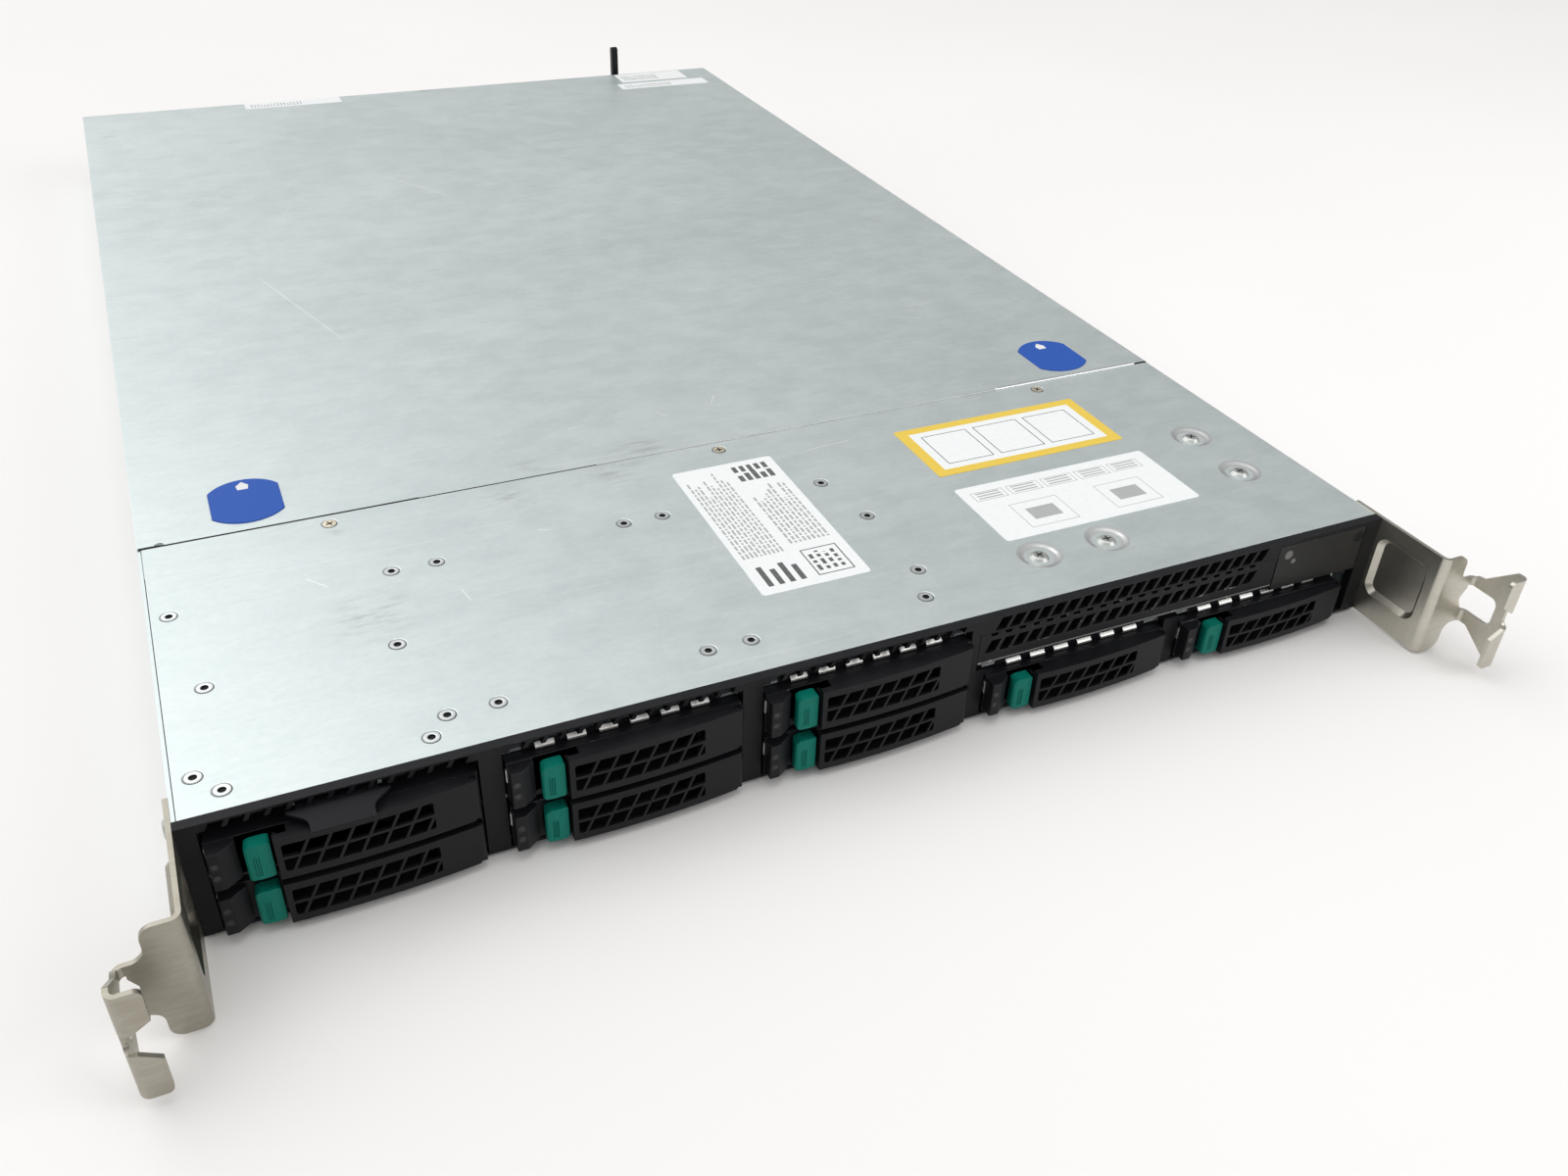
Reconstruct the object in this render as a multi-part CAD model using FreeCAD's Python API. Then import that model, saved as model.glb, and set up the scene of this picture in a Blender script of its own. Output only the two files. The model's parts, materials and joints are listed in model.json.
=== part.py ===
"""One-unit rack server with eight front drive bays, as separate pieces in millimetres.

The origin is the centre of the base. +X is the right side seen from the front, +Y runs to the rear
and +Z is up, so the front faces -Y. Each piece is written to parts/NODE.step.
"""
import FreeCAD, Part
import math
import os

V = FreeCAD.Vector

# Case
chassis_width = 438.0
chassis_height = 43.2
chassis_depth = 703.0
tray_sheet = 1.2
cover_sheet = 1.0
seam_from_front = 145.3
seam_gap = 0.5
rim_drop = 0.3
cover_flange = 8.0
running_gap = 0.3
lid_gap = 0.1

# Rail holes in both side walls
rail_hole_radius = 2.1
rail_hole_first = 60.0
rail_hole_pitch = 190.0
rail_hole_count = 4
rail_hole_height = 21.6

# Cross rail under the cover seam
cross_rail_front = 127.0
cross_rail_depth = 26.0
cross_rail_drop = 9.0

# Drive bays, numbered from the left, the lower bay of a column first
bay_pitch = 85.0
bay_window = 78.0
second_bay_x = -89.4
column_count = 5
stacked_columns = 3
lower_bay_bottom = 3.0
bay_rise = 17.9
carrier_width = 76.4
carrier_height = 15.5
carrier_length = 116.0
carrier_front_depth = 7.2
carrier_ledge = 0.5
rail_slot_count = 3
rail_slot_first = 9.9
rail_slot_pitch = 33.0
rail_slot_length = 20.0
rail_slot_margin = 5.0

# Drive in its carrier
drive_width = 69.85
drive_height = 14.8
drive_length = 100.2
drive_fit = 0.1
drive_lid = 1.2
drive_lid_inset = 2.0
drive_lid_rear = 6.0
drive_lid_corner = 6.0
drive_socket_depth = 5.0

# Light block at the left of a carrier
light_block_width = 8.0
light_block_reach = 9.2
light_block_slope = 3.2
light_block_foot = 1.2
light_block_head = 0.4
light_block_edge = 0.4
light_face_width = 3.4
light_face_inset = 0.1
light_window_radius = 0.9
light_window_depth = 0.6
light_window_heights = (5.9, 10.3)

# Latch
latch_from_left = 9.6
latch_width = 7.3
latch_reach = 9.0
latch_travel = 1.2
latch_foot = 1.0
latch_head = 1.7
latch_heel = 0.6
latch_side = 2.0
latch_left_shoulder = 0.5
latch_right_shoulder = 0.3
latch_crest = 3.6
latch_crest_radius = 12.0
latch_corner = 2.4
latch_edge = 1.0
latch_groove = 0.3
latch_groove_first = 2.0
latch_groove_pitch = 0.7
latch_groove_count = 3
latch_groove_depth = 0.5
latch_groove_foot = 1.4
latch_groove_head = 4.4
latch_stem_width = 4.0
latch_stem_height = 6.0
latch_stem_length = 2.6

# Lever with its grille
lever_reach = 10.2
lever_bulge = 1.2
lever_back = 4.5
lever_gap = 0.8
lever_wall = 1.2
lever_end_radius = 1.8
lever_pin_radius = 0.7
lever_lug_radius = 1.1
lever_corner_cut = 3.6
lever_notch = 4.0
grille_left = 2.5
grille_first = 1.8
grille_corner = 0.8
grille_width = 42.6
grille_height = 10.2
grille_pitch = 6.3
grille_bar = 1.0
grille_lean = 0.5

# Bezel
bezel_thickness = 3.6
bezel_bottom = 0.8
bezel_sill = 1.8
bezel_left_post = 5.6
bezel_right_post = 7.0
bezel_bar_bottom = 40.2
vent_pitch = 5.65
vent_width = 4.2
vent_height = 5.0
bar_vent_height = 2.9
bar_vent_overlap = 0.5
vent_rise = 0.8

# Filler of the slim bay and blank control panel above the two right columns
upper_opening_bottom = 21.5
filler_overhang = 3.6
filler_width = 131.0
filler_top = 36.8
filler_sill = 24.2
filler_slot_bottom = 28.4
filler_slot_height = 5.2
filler_notch = 1.2
filler_face = 2.4
filler_step = 5.0
filler_depth = 26.0
panel_top = 41.4
panel_depth = 12.0
panel_inset = 3.0

# Drive cage
cage_sheet = 1.0
cage_depth = 118.0
ledge_width = 3.0
shelf_sheet = 1.2

# Shielding fingers
finger_count = 6
finger_pitch = 10.1
finger_width = 6.1
finger_bulge = 1.6
finger_height = 2.0
finger_nose = 1.0
finger_nose_radius = 0.3
finger_sheet = 0.4
finger_strip_extra = 4.0

# Pull-out tag over the first column
tag_centre_x = -175.6
tag_width = 23.0
tag_sheet = 0.8
tag_height = 39.1
tag_length = 58.0
tag_knee = 1.0
tag_bend = 1.5
tag_flare_width = 29.0
tag_flare_rim = 0.8
tag_flare_reach = 8.5
tag_scoop = 3.5
tag_lip_width = 18.0
tag_lip_reach = 13.0
tag_lip_height = 36.8
tag_lip_sheet = 1.2
tag_lip_length = 1.4
tag_lip_edge = 0.4
tag_guide = 2.0

# Front ears
ear_sheet = 1.5
ear_back = 10.5
ear_flange_reach = 36.5
ear_flange_width = 11.0
ear_wing_out = 19.5
ear_wing_reach = 56.5
ear_tab_width = 8.5
ear_tab_corner = 2.0
ear_tab_taper = 3.6
ear_height = 42.4
ear_foot = 0.8
ear_bend = 1.6
ear_corner = 4.0
ear_neck_bottom = 12.0
ear_neck_top = 32.0
ear_neck_length = 3.0
ear_neck_rise = 1.2
ear_wing_front = 5.0
ear_wing_drop = 0.4
ear_wing_lift = 3.2
ear_wing_corner = 2.0
ear_waist_depth = 2.5
ear_waist_bottom = 21.0
ear_waist_top = 28.6
ear_hole_bottom = 17.0
ear_hole_top = 28.6
ear_hole_reach = 49.0
ear_hole_inset = 5.0
ear_hole_corner = 3.0
ear_hole_nose = 2.5
emboss_depth = 2.0
emboss_draft = 2.0
emboss_back = 7.2
emboss_length = 20.8
emboss_bottom = 12.5
emboss_height = 22.0
emboss_corner = 3.0

# Backplane behind the drives
backplane_from_front = 120.0
board_sheet = 1.6
connector_width = 42.0
connector_height = 5.0
connector_lift = 0.4
backplane_slot_width = 50.0
backplane_slot_height = 5.0
backplane_slot_rise = 2.0

# Fans
fan_count = 5
fan_pitch = 86.0
fan_size = 40.0
fan_length = 56.0
fan_to_board = 10.0
fan_bore_radius = 19.0
fan_blade_gap = 0.8
fan_hub_radius = 9.5
fan_rotor_length = 30.0
fan_blade_count = 6
fan_blade_chord = 15.0
fan_blade_sheet = 1.0
fan_blade_pitch = 38.0
fan_blade_root = 1.0
fan_pin_radius = 2.0
fan_pin_inset = 3.0
fan_strut = 3.0
fan_strut_seat = 0.5
fan_rotor_inset = 6.0

# Main board and what stands on it; memory banks stand left, between and right of the heatsinks
board_left = 4.0
board_width = 264.0
board_length = 400.0
board_rear_gap = 11.0
standoff_height = 5.0
standoff_radius = 3.0
standoff_inset = 9.0
sink_size = 80.0
sink_depth = 92.0
sink_base = 4.0
sink_height = 26.0
sink_fin = 1.0
sink_fin_count = 18
sink_from_board = 78.0
socket_width = 58.0
socket_length = 68.0
socket_height = 3.0
memory_bank_counts = (2, 4, 3)
memory_length = 133.0
memory_height = 30.0
memory_sheet = 1.4
memory_pitch = 9.0
memory_from_board = 58.0
memory_seat = 2.0
memory_slot_height = 6.0
memory_slot_width = 6.0
memory_slot_end = 4.0
memory_notch_from_end = 71.8
memory_notch_width = 2.0
memory_notch_height = 4.0

# Air duct
duct_sheet = 1.2
duct_top = 40.6
duct_from_board = 4.0
duct_length = 44.0

# Power supply and the blank beside it
supply_width = 73.5
supply_height = 39.5
supply_length = 185.0
supply_right = 13.2
supply_gap = 1.4
supply_handle_from_left = 17.9
supply_handle_width = 4.6
supply_handle_depth = 5.0
supply_handle_stand = 9.0
supply_handle_pivot = 21.0
supply_handle_length = 38.5
supply_handle_boss = 4.5
supply_handle_corner = 2.2
supply_pin_radius = 2.0
supply_lug = 2.5
supply_lug_radius = 4.0
inlet_width = 25.0
inlet_height = 17.0
inlet_depth = 14.0
inlet_from_right = 20.0
inlet_chamfer = 5.0
inlet_pin_width = 2.0
inlet_pin_height = 4.0
inlet_pin_pitch = 7.0
inlet_pin_inset = 3.0
blank_depth = 24.0
blank_sheet = 1.2
blank_slot_rows = 3
blank_slot_height = 6.0
blank_slot_first = 8.0
blank_slot_pitch = 9.0
blank_slot_inset = 7.0

# Rear ports
port_wall = 1.5
network_count = 3
network_width = 12.2
network_height = 11.0
network_depth = 14.0
network_left_x = -36.0
usb_width = 13.6
usb_height = 5.6
usb_left_x = 18.0
usb_count = 2
video_x = -68.0
video_width = 30.0
video_height = 11.0
video_plug_inset = 6.0
video_plug_margin = 2.0
video_plug_taper = 1.5
video_plug_corner = 1.5
video_plug_reach = 5.0
port_bottom = 8.6
port_depth = 18.0
port_stand = 0.4
rear_vent_count = 12
rear_vent_pitch = 10.0
rear_vent_width = 4.0
rear_vent_corner = 1.9
rear_vent_left_x = -208.0

# Screws
flat_head_radius = 3.0
screw_radius = 1.5
screw_length = 5.0
screw_clearance = 0.1
pan_head_radius = 3.7
pan_head_top_radius = 2.6
pan_head_height = 1.3
dish_radius = 8.6
dish_floor_radius = 5.6
dish_depth = 1.2
ear_screw_inset = 5.0
ear_screw_rise = 15.0

# Places of the flat screws on the front cover, as (x, distance from the front edge)
cover_screws = (
    (-211.8, 100.0), (-204.8, 57.2), (-211.8, 16.5), (-204.8, 8.2), (-139.4, 100.0), (-123.6, 100.0),
    (-146.0, 57.2), (-146.0, 8.2), (-139.4, 16.5), (-123.6, 16.5), (-54.2, 100.0), (-39.0, 100.0),
    (-54.2, 16.5), (-39.0, 16.5), (27.2, 100.0), (33.0, 71.7), (33.0, 32.3), (27.2, 16.5),
)
seam_screws = ((-154.0, 139.1), (0.0, 139.1), (154.0, 139.1))
dish_screws = ((79.3, 24.3), (109.2, 24.3), (191.2, 77.7), (191.2, 46.6))

# Touch pads on the rear cover
pad_centre_x = 180.0
pad_width = 25.5
pad_front = 150.3
pad_rear = 182.5
pad_side_front = 156.5
pad_side_rear = 175.5
pad_sheet = 0.8
pad_sink = 0.4
relief_radius = 1.6
relief_inset = 7.5
relief_set_back = 0.9

# Worked out from the values above
half_width = chassis_width / 2
front = -chassis_depth / 2
rear = chassis_depth / 2
cover_bottom = chassis_height - cover_sheet
inner_half = half_width - tray_sheet
front_cover_half = inner_half - running_gap
cage_half = front_cover_half - cover_sheet - running_gap
seam = front + seam_from_front
shelf_top = lower_bay_bottom + bay_rise - running_gap
shelf_bottom = shelf_top - shelf_sheet
column_x = [second_bay_x + bay_pitch * (i - 1) for i in range(column_count)]
bay_rows = [2 if i < stacked_columns else 1 for i in range(column_count)]
bays = [(x, row) for x, rows in zip(column_x, bay_rows) for row in range(rows)]
filler_left = column_x[stacked_columns] - bay_window / 2 - filler_overhang
panel_right = half_width - bezel_right_post
board_x = -inner_half + board_left
board_bottom = tray_sheet + standoff_height
board_top = board_bottom + board_sheet
supply_right_x = half_width - supply_right
supply_bottom = tray_sheet + lid_gap
supply_y = rear - supply_length
board_y = rear - board_rear_gap - board_length
fan_y = board_y - fan_to_board - fan_length
fan_x = [fan_pitch * (i - (fan_count - 1) / 2) for i in range(fan_count)]


def box(x0, x1, y0, y1, z0, z1):
    """Return a block between two corners."""
    return Part.makeBox(x1 - x0, y1 - y0, z1 - z0, V(x0, y0, z0))


def rod(radius, start, end):
    """Return a round rod from one point to another."""
    axis = end - start
    return Part.makeCylinder(radius, axis.Length, start, axis)


def outline(points, place):
    """Return a closed wire through (u, v) or (u, v, radius) corners, set in space by place(u, v)."""
    count = len(points)
    ends = []
    for i, corner in enumerate(points):
        here = V(corner[0], corner[1], 0)
        radius = corner[2] if len(corner) > 2 else 0.0
        before = V(points[i - 1][0], points[i - 1][1], 0) - here
        after = V(points[(i + 1) % count][0], points[(i + 1) % count][1], 0) - here
        before.normalize()
        after.normalize()
        half = before.getAngle(after) / 2
        if radius <= 0:
            ends.append((here, here, here))
            continue
        reach = radius / math.tan(half)
        inward = before + after
        inward.normalize()
        middle = here + inward * (radius / math.sin(half) - radius)
        ends.append((here + before * reach, middle, here + after * reach))
    edges = []
    for i, (start, middle, end) in enumerate(ends):
        if start.distanceToPoint(end) > 1e-7:
            edges.append(Part.Arc(place(start), place(middle), place(end)).toShape())
        following = ends[(i + 1) % count][0]
        if end.distanceToPoint(following) > 1e-7:
            edges.append(Part.LineSegment(place(end), place(following)).toShape())
    return Part.Wire(edges)


def prism_x(points, x0, x1):
    """Return (y, z) corners drawn out along X."""
    return Part.Face(outline(points, lambda p: V(x0, p.x, p.y))).extrude(V(x1 - x0, 0, 0))


def prism_y(points, y0, y1):
    """Return (x, z) corners drawn out along Y."""
    return Part.Face(outline(points, lambda p: V(p.x, y0, p.y))).extrude(V(0, y1 - y0, 0))


def prism_z(points, z0, z1):
    """Return (x, y) corners drawn out along Z."""
    return Part.Face(outline(points, lambda p: V(p.x, p.y, z0))).extrude(V(0, 0, z1 - z0))


def join(shapes):
    """Return one solid made of touching shapes."""
    return shapes[0].multiFuse(shapes[1:]).removeSplitter()


def trim(shape, tools):
    """Return a shape with tools cut out of it."""
    return shape.cut(Part.makeCompound(tools))


def rounded(u0, u1, v0, v1, radius):
    """Return the corners of a rectangle with round corners."""
    return [(u0, v0, radius), (u1, v0, radius), (u1, v1, radius), (u0, v1, radius)]


def strip(path, sheet, bend):
    """Return the outline of a bent strip of sheet whose middle follows a path of square turns."""
    sides = ([], [])
    for i, here in enumerate(path):
        ahead = path[min(i + 1, len(path) - 1)]
        behind = path[max(i - 1, 0)]
        out = V(ahead[0] - here[0], ahead[1] - here[1], 0) if i + 1 < len(path) else None
        come = V(here[0] - behind[0], here[1] - behind[1], 0) if i else out
        out = out or come
        come.normalize()
        out.normalize()
        left = V(-come.y, come.x, 0)
        corner = 0 < i < len(path) - 1
        left_turn = come.cross(out).z > 0
        shift = left if not corner else left + V(-out.y, out.x, 0)
        for side, sign in zip(sides, (1, -1)):
            radius = (bend if left_turn == (sign > 0) else bend + sheet) if corner else 0.0
            side.append((here[0] + sign * shift.x * sheet / 2, here[1] + sign * shift.y * sheet / 2, radius))
    return sides[0] + sides[1][::-1]


def leaning_slot(x, bottom, width, height, lean):
    """Return the (x, z) corners of a slot that leans to the right."""
    top, shift = bottom + height, lean * height
    return [(x, bottom), (x + width, bottom), (x + width + shift, top), (x + shift, top)]


def corner_waste(x, z, radius, right, up, y0, y1):
    """Return what rounding takes off a sharp corner at (x, z), whose faces look right and up (1 or -1)."""
    middle_x, middle_z = x - right * radius, z - up * radius
    xs, zs = sorted((middle_x, x + right)), sorted((middle_z, z + up))
    block = box(xs[0], xs[1], y0, y1, zs[0], zs[1])
    return block.cut(rod(radius, V(middle_x, y0 - 1, middle_z), V(middle_x, y1 + 1, middle_z)))


def screw_holes(places, top, depth):
    """Return clearance rods for the screws at the given (x, distance from front) places."""
    radius = screw_radius + screw_clearance
    return [rod(radius, V(x, front + y, top - depth), V(x, front + y, top)) for x, y in places]


def flat_screw(x, y, top):
    """Return one flat-head screw, its head flush with the top."""
    head = Part.makeCone(screw_radius, flat_head_radius, cover_sheet, V(x, y, top - cover_sheet))
    shank = rod(screw_radius, V(x, y, top - screw_length), V(x, y, top - cover_sheet))
    return head.fuse(shank).removeSplitter()


def pan_head(seat, axis):
    """Return a low tapered screw head on its seat."""
    return Part.makeCone(pan_head_radius, pan_head_top_radius, pan_head_height, seat, axis)


def rail_holes(radius):
    """Return rods through both sides of the case at the rail holes."""
    inner, outer = cage_half - cage_sheet, half_width + 1
    tools = []
    for i in range(rail_hole_count):
        y = front + rail_hole_first + rail_hole_pitch * i
        for x0, x1 in ((-outer, -inner), (inner, outer)):
            tools.append(rod(radius, V(x0, y, rail_hole_height), V(x1, y, rail_hole_height)))
    return tools


def chassis_tray():
    """Return the folded tray: floor, sides, rear wall and the rail under the cover seam."""
    side_top = cover_bottom - lid_gap
    pieces = [box(-half_width, half_width, front, rear, 0, tray_sheet)]
    for x0 in (-half_width, inner_half):
        pieces.append(box(x0, x0 + tray_sheet, front, seam, 0, chassis_height - rim_drop))
        pieces.append(box(x0, x0 + tray_sheet, seam, rear, 0, side_top))
    pieces.append(box(-half_width, half_width, rear - tray_sheet, rear, 0, side_top))
    rail_y = front + cross_rail_front
    rail_end = rail_y + cross_rail_depth
    lip_bottom = side_top - cross_rail_drop
    pieces.append(box(-half_width, half_width, rail_y, rail_end, side_top - cover_sheet, side_top))
    pieces.append(box(-half_width, half_width, rail_y, rail_y + cover_sheet, lip_bottom, side_top))
    tray = join(pieces)
    tools = screw_holes(seam_screws, chassis_height, screw_length) + rail_holes(rail_hole_radius)
    y0, y1 = rear - tray_sheet - 1, rear + 1
    bay_top = supply_bottom + supply_height + running_gap
    for left, right in supply_bays():
        tools.append(box(left - running_gap, right + running_gap, y0, y1, tray_sheet, bay_top))
    for left, right, bottom, top in port_openings():
        low, high = bottom - running_gap, top + running_gap
        tools.append(box(left - running_gap, right + running_gap, y0, y1, low, high))
    for i in range(rear_vent_count):
        left = rear_vent_left_x + rear_vent_pitch * i
        right, top = left + rear_vent_width, cover_bottom - cross_rail_drop
        tools.append(prism_y(rounded(left, right, port_bottom, top, rear_vent_corner), y0, y1))
    return trim(tray, tools)


def front_cover():
    """Return the fixed front cover with its countersinks and four round dished screw seats."""
    rear_edge = seam - seam_gap
    pieces = [box(-front_cover_half, front_cover_half, front, rear_edge, cover_bottom, chassis_height)]
    flange_end = front + cross_rail_front - running_gap
    flange_bottom = chassis_height - cover_flange
    for x0 in (-front_cover_half, front_cover_half - cover_sheet):
        pieces.append(box(x0, x0 + cover_sheet, front, flange_end, flange_bottom, chassis_height))
    cover = join(pieces)
    hole = screw_radius + screw_clearance
    sink = flat_head_radius + screw_clearance
    tools = screw_holes(cover_screws + seam_screws, chassis_height, screw_length)
    for x, y in cover_screws + seam_screws:
        tools.append(Part.makeCone(hole, sink, cover_sheet, V(x, front + y, cover_bottom)))
    for x, y in dish_screws:
        tools.append(rod(dish_radius, V(x, front + y, cover_bottom), V(x, front + y, chassis_height)))
    cover = trim(cover, tools)
    floor_top = chassis_height - dish_depth
    floor_bottom = floor_top - cover_sheet
    profile = [(hole, floor_top), (dish_floor_radius, floor_top), (dish_radius, chassis_height),
               (dish_radius, cover_bottom), (dish_floor_radius, floor_bottom), (hole, floor_bottom)]
    section = Part.Face(outline(profile, lambda p: V(p.x, 0, p.y)))
    dish = section.revolve(V(0, 0, 0), V(0, 0, 1), 360)
    return join([cover] + [dish.translated(V(x, front + y, 0)) for x, y in dish_screws])


def rear_cover():
    """Return the sliding rear cover with its side flanges, corner reliefs and pad pockets."""
    pieces = [box(-half_width, half_width, seam, rear, cover_bottom, chassis_height)]
    outer = inner_half - running_gap
    flange_front = front + cross_rail_front + cross_rail_depth + running_gap
    flange_rear = rear - tray_sheet - running_gap
    flange_bottom = chassis_height - cover_flange
    for x0 in (-outer, outer - cover_sheet):
        pieces.append(box(x0, x0 + cover_sheet, flange_front, flange_rear, flange_bottom, chassis_height))
    cover = join(pieces)
    tools = [pad(x, chassis_height - pad_sink, chassis_height) for x in (-pad_centre_x, pad_centre_x)]
    y = seam + relief_set_back
    for x in (-half_width + relief_inset, half_width - relief_inset):
        tools.append(rod(relief_radius, V(x, y, cover_bottom - 1), V(x, y, chassis_height + 1)))
    return trim(cover, tools)


def pad(x, bottom, top):
    """Return one touch pad: straight sides with a bowed front and rear."""
    half = pad_width / 2
    y0, y1 = front + pad_side_front, front + pad_side_rear
    place = [V(x - half, y0, bottom), V(x, front + pad_front, bottom), V(x + half, y0, bottom),
             V(x + half, y1, bottom), V(x, front + pad_rear, bottom), V(x - half, y1, bottom)]
    edges = [Part.Arc(place[0], place[1], place[2]).toShape(), Part.LineSegment(place[2], place[3]).toShape(),
             Part.Arc(place[3], place[4], place[5]).toShape(), Part.LineSegment(place[5], place[0]).toShape()]
    return Part.Face(Part.Wire(edges)).extrude(V(0, 0, top - bottom))


def cover_touch_pads():
    """Return the two pads in their pockets, a little proud of the cover."""
    bottom = chassis_height - pad_sink
    return [pad(x, bottom, bottom + pad_sheet) for x in (-pad_centre_x, pad_centre_x)]


def case_screws():
    """Return the cover, seam, dish and ear screws as separate solids."""
    screws = [flat_screw(x, front + y, chassis_height) for x, y in cover_screws + seam_screws]
    for x, y in dish_screws:
        seat = V(x, front + y, chassis_height - dish_depth)
        shank = rod(screw_radius, seat - V(0, 0, screw_length), seat)
        screws.append(pan_head(seat, V(0, 0, 1)).fuse(shank).removeSplitter())
    for side in (-1, 1):
        for height in (rail_hole_height - ear_screw_rise, rail_hole_height + ear_screw_rise):
            seat = V(side * (half_width + ear_sheet), front + ear_screw_inset, height)
            screws.append(pan_head(seat, V(side, 0, 0)))
    return screws


def front_bezel():
    """Return the moulded front frame with its bay windows and leaning vents."""
    plate = box(-half_width, half_width, front - bezel_thickness, front, bezel_bottom, chassis_height)
    y0, y1 = front - bezel_thickness - 1, front + 1
    tools = []
    for i, x in enumerate(column_x):
        left = x - bay_window / 2 if i else -half_width + bezel_left_post
        right = x + bay_window / 2 if i < column_count - 1 else panel_right
        stacked = i < stacked_columns
        top = bezel_bar_bottom if stacked else upper_opening_bottom
        tools.append(box(left, right, y0, y1, bezel_sill, top))
        if stacked:
            count = int((right - left - vent_width) / vent_pitch)
            low = bezel_bar_bottom - bar_vent_overlap
            tools += vent_row(left + vent_width / 2, count, low, bar_vent_height, y0, y1)
    panel_left = filler_left + filler_width
    tools.append(box(filler_left, panel_left, y0, y1, upper_opening_bottom, filler_top))
    tools.append(box(panel_left, panel_right, y0, y1, upper_opening_bottom, panel_top))
    count = int((filler_width - vent_width) / vent_pitch) - 1
    tools += vent_row(filler_left + vent_pitch, count, filler_top + vent_rise, vent_height, y0, y1)
    return trim(plate, tools)


def vent_row(left, count, bottom, height, y0, y1):
    """Return cutters for a row of leaning vents."""
    return [prism_y(leaning_slot(left + vent_pitch * i, bottom, vent_width, height, grille_lean), y0, y1)
            for i in range(count)]


def bay_filler_grille():
    """Return the slim-bay filler: a notched, slotted face that overhangs its set-back wall and floor."""
    left, right = filler_left + running_gap, filler_left + filler_width - running_gap
    bottom, top = upper_opening_bottom + running_gap, filler_top - running_gap
    face = front - bezel_thickness
    inner, back = face + filler_face, face + filler_step
    wall, sill_top, floor = back + cage_sheet, filler_sill + cage_sheet, bottom + cage_sheet
    end = front + filler_depth
    profile = [(face, filler_sill), (face, top), (inner, top), (inner, sill_top), (wall, sill_top),
               (wall, floor), (end, floor), (end, bottom), (back, bottom), (back, filler_sill)]
    cheeks = [box(x0, x0 + cage_sheet, back, end, bottom, top) for x0 in (left, right - cage_sheet)]
    cheeks += [box(x0, x0 + cage_sheet, inner, back, filler_sill, top) for x0 in (left, right - cage_sheet)]
    body = join([prism_x(profile, left, right)] + cheeks)
    count = int((filler_width - 2 * vent_width) / vent_pitch)
    first = left + vent_width / 2
    tools = vent_row(first, count, filler_slot_bottom, filler_slot_height, face - 1, inner + 1)
    for i in range(count):
        x = left + vent_width + vent_pitch * i
        tools.append(box(x, x + vent_pitch / 2, face - 1, inner + 1, top - filler_notch, top + 1))
    return trim(body, tools)


def control_panel():
    """Return the blank control panel: a plain face with its housing behind."""
    left, right = filler_left + filler_width + running_gap, panel_right - running_gap
    bottom, top = upper_opening_bottom + running_gap, panel_top - running_gap
    face = front - bezel_thickness
    inner = face + filler_face
    plate = box(left, right, face, inner, bottom, top)
    low, high = left + panel_inset, right - panel_inset
    return join([plate, box(low, high, inner, front + panel_depth, bottom, top - panel_inset)])


def drive_cage():
    """Return the sheet cage: roof, outer and bay walls, shelf, ledges, bay roofs and tag guides."""
    y0, y1 = front, front + cage_depth
    roof_bottom = cover_bottom - cage_sheet
    ledge_top = lower_bay_bottom - running_gap
    pieces = [box(-cage_half, cage_half, y0, y1, roof_bottom, cover_bottom),
              box(-cage_half, cage_half, y0, y1, shelf_bottom, shelf_top)]
    for x0 in (-cage_half, cage_half - cage_sheet):
        pieces.append(box(x0, x0 + cage_sheet, y0, y1, tray_sheet, cover_bottom))
    for i, x in enumerate(column_x):
        stacked = i < stacked_columns
        left, right = x - bay_window / 2, x + bay_window / 2
        wall_top = cover_bottom if stacked else shelf_top
        for x0 in (left - cage_sheet, right):
            pieces.append(box(x0, x0 + cage_sheet, y0, y1, tray_sheet, wall_top))
        for x0 in (left, right - ledge_width):
            pieces.append(box(x0, x0 + ledge_width, y0, y1, ledge_top - cage_sheet, ledge_top))
        if i and stacked:
            bay_roof = finger_bottom(i) + lid_gap
            pieces.append(box(left, right, y0, y1, bay_roof, bay_roof + cage_sheet))
    tag_y = front + tag_length
    tag_seat = tag_height - lid_gap
    for side in (-1, 1):
        edge = tag_centre_x + side * (tag_width / 2 + running_gap)
        ends = sorted((edge, edge + side * cage_sheet))
        pieces.append(box(ends[0], ends[1], y0, tag_y, tag_seat - cage_sheet, roof_bottom))
        ends = sorted((edge, edge - side * tag_guide))
        pieces.append(box(ends[0], ends[1], y0, tag_y, tag_seat - cage_sheet, tag_seat))
    tools = screw_holes(cover_screws, chassis_height, screw_length)
    tools += rail_holes(rail_hole_radius + running_gap)
    room = dish_radius + running_gap
    for x, y in dish_screws:
        tools.append(rod(room, V(x, front + y, roof_bottom - 1), V(x, front + y, cover_bottom + 1)))
    return trim(join(pieces), tools)


def finger_bottom(column):
    """Return the height of a column's shielding strip, just above its highest carrier."""
    highest = bay_rows[column] - 1
    return lower_bay_bottom + bay_rise * highest + carrier_height + running_gap


def emi_spring_fingers():
    """Return one shielding strip per column from the second: a band with bowed spring fingers."""
    strips = []
    band, nose = front - finger_sheet, front - finger_bulge
    half = (finger_pitch * (finger_count - 1) + finger_width) / 2 + finger_strip_extra
    for i in range(1, column_count):
        x, low = column_x[i], finger_bottom(i)
        high = low + finger_height
        pieces = [box(x - half, x + half, band, front, low, high)]
        bow = [(band, high), (nose, low + finger_nose, finger_nose_radius), (nose, low, finger_nose_radius),
               (band, low)]
        for k in range(finger_count):
            middle = x + finger_pitch * (k - (finger_count - 1) / 2)
            pieces.append(prism_x(bow, middle - finger_width / 2, middle + finger_width / 2))
        strips.append(join(pieces))
    return strips


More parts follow.
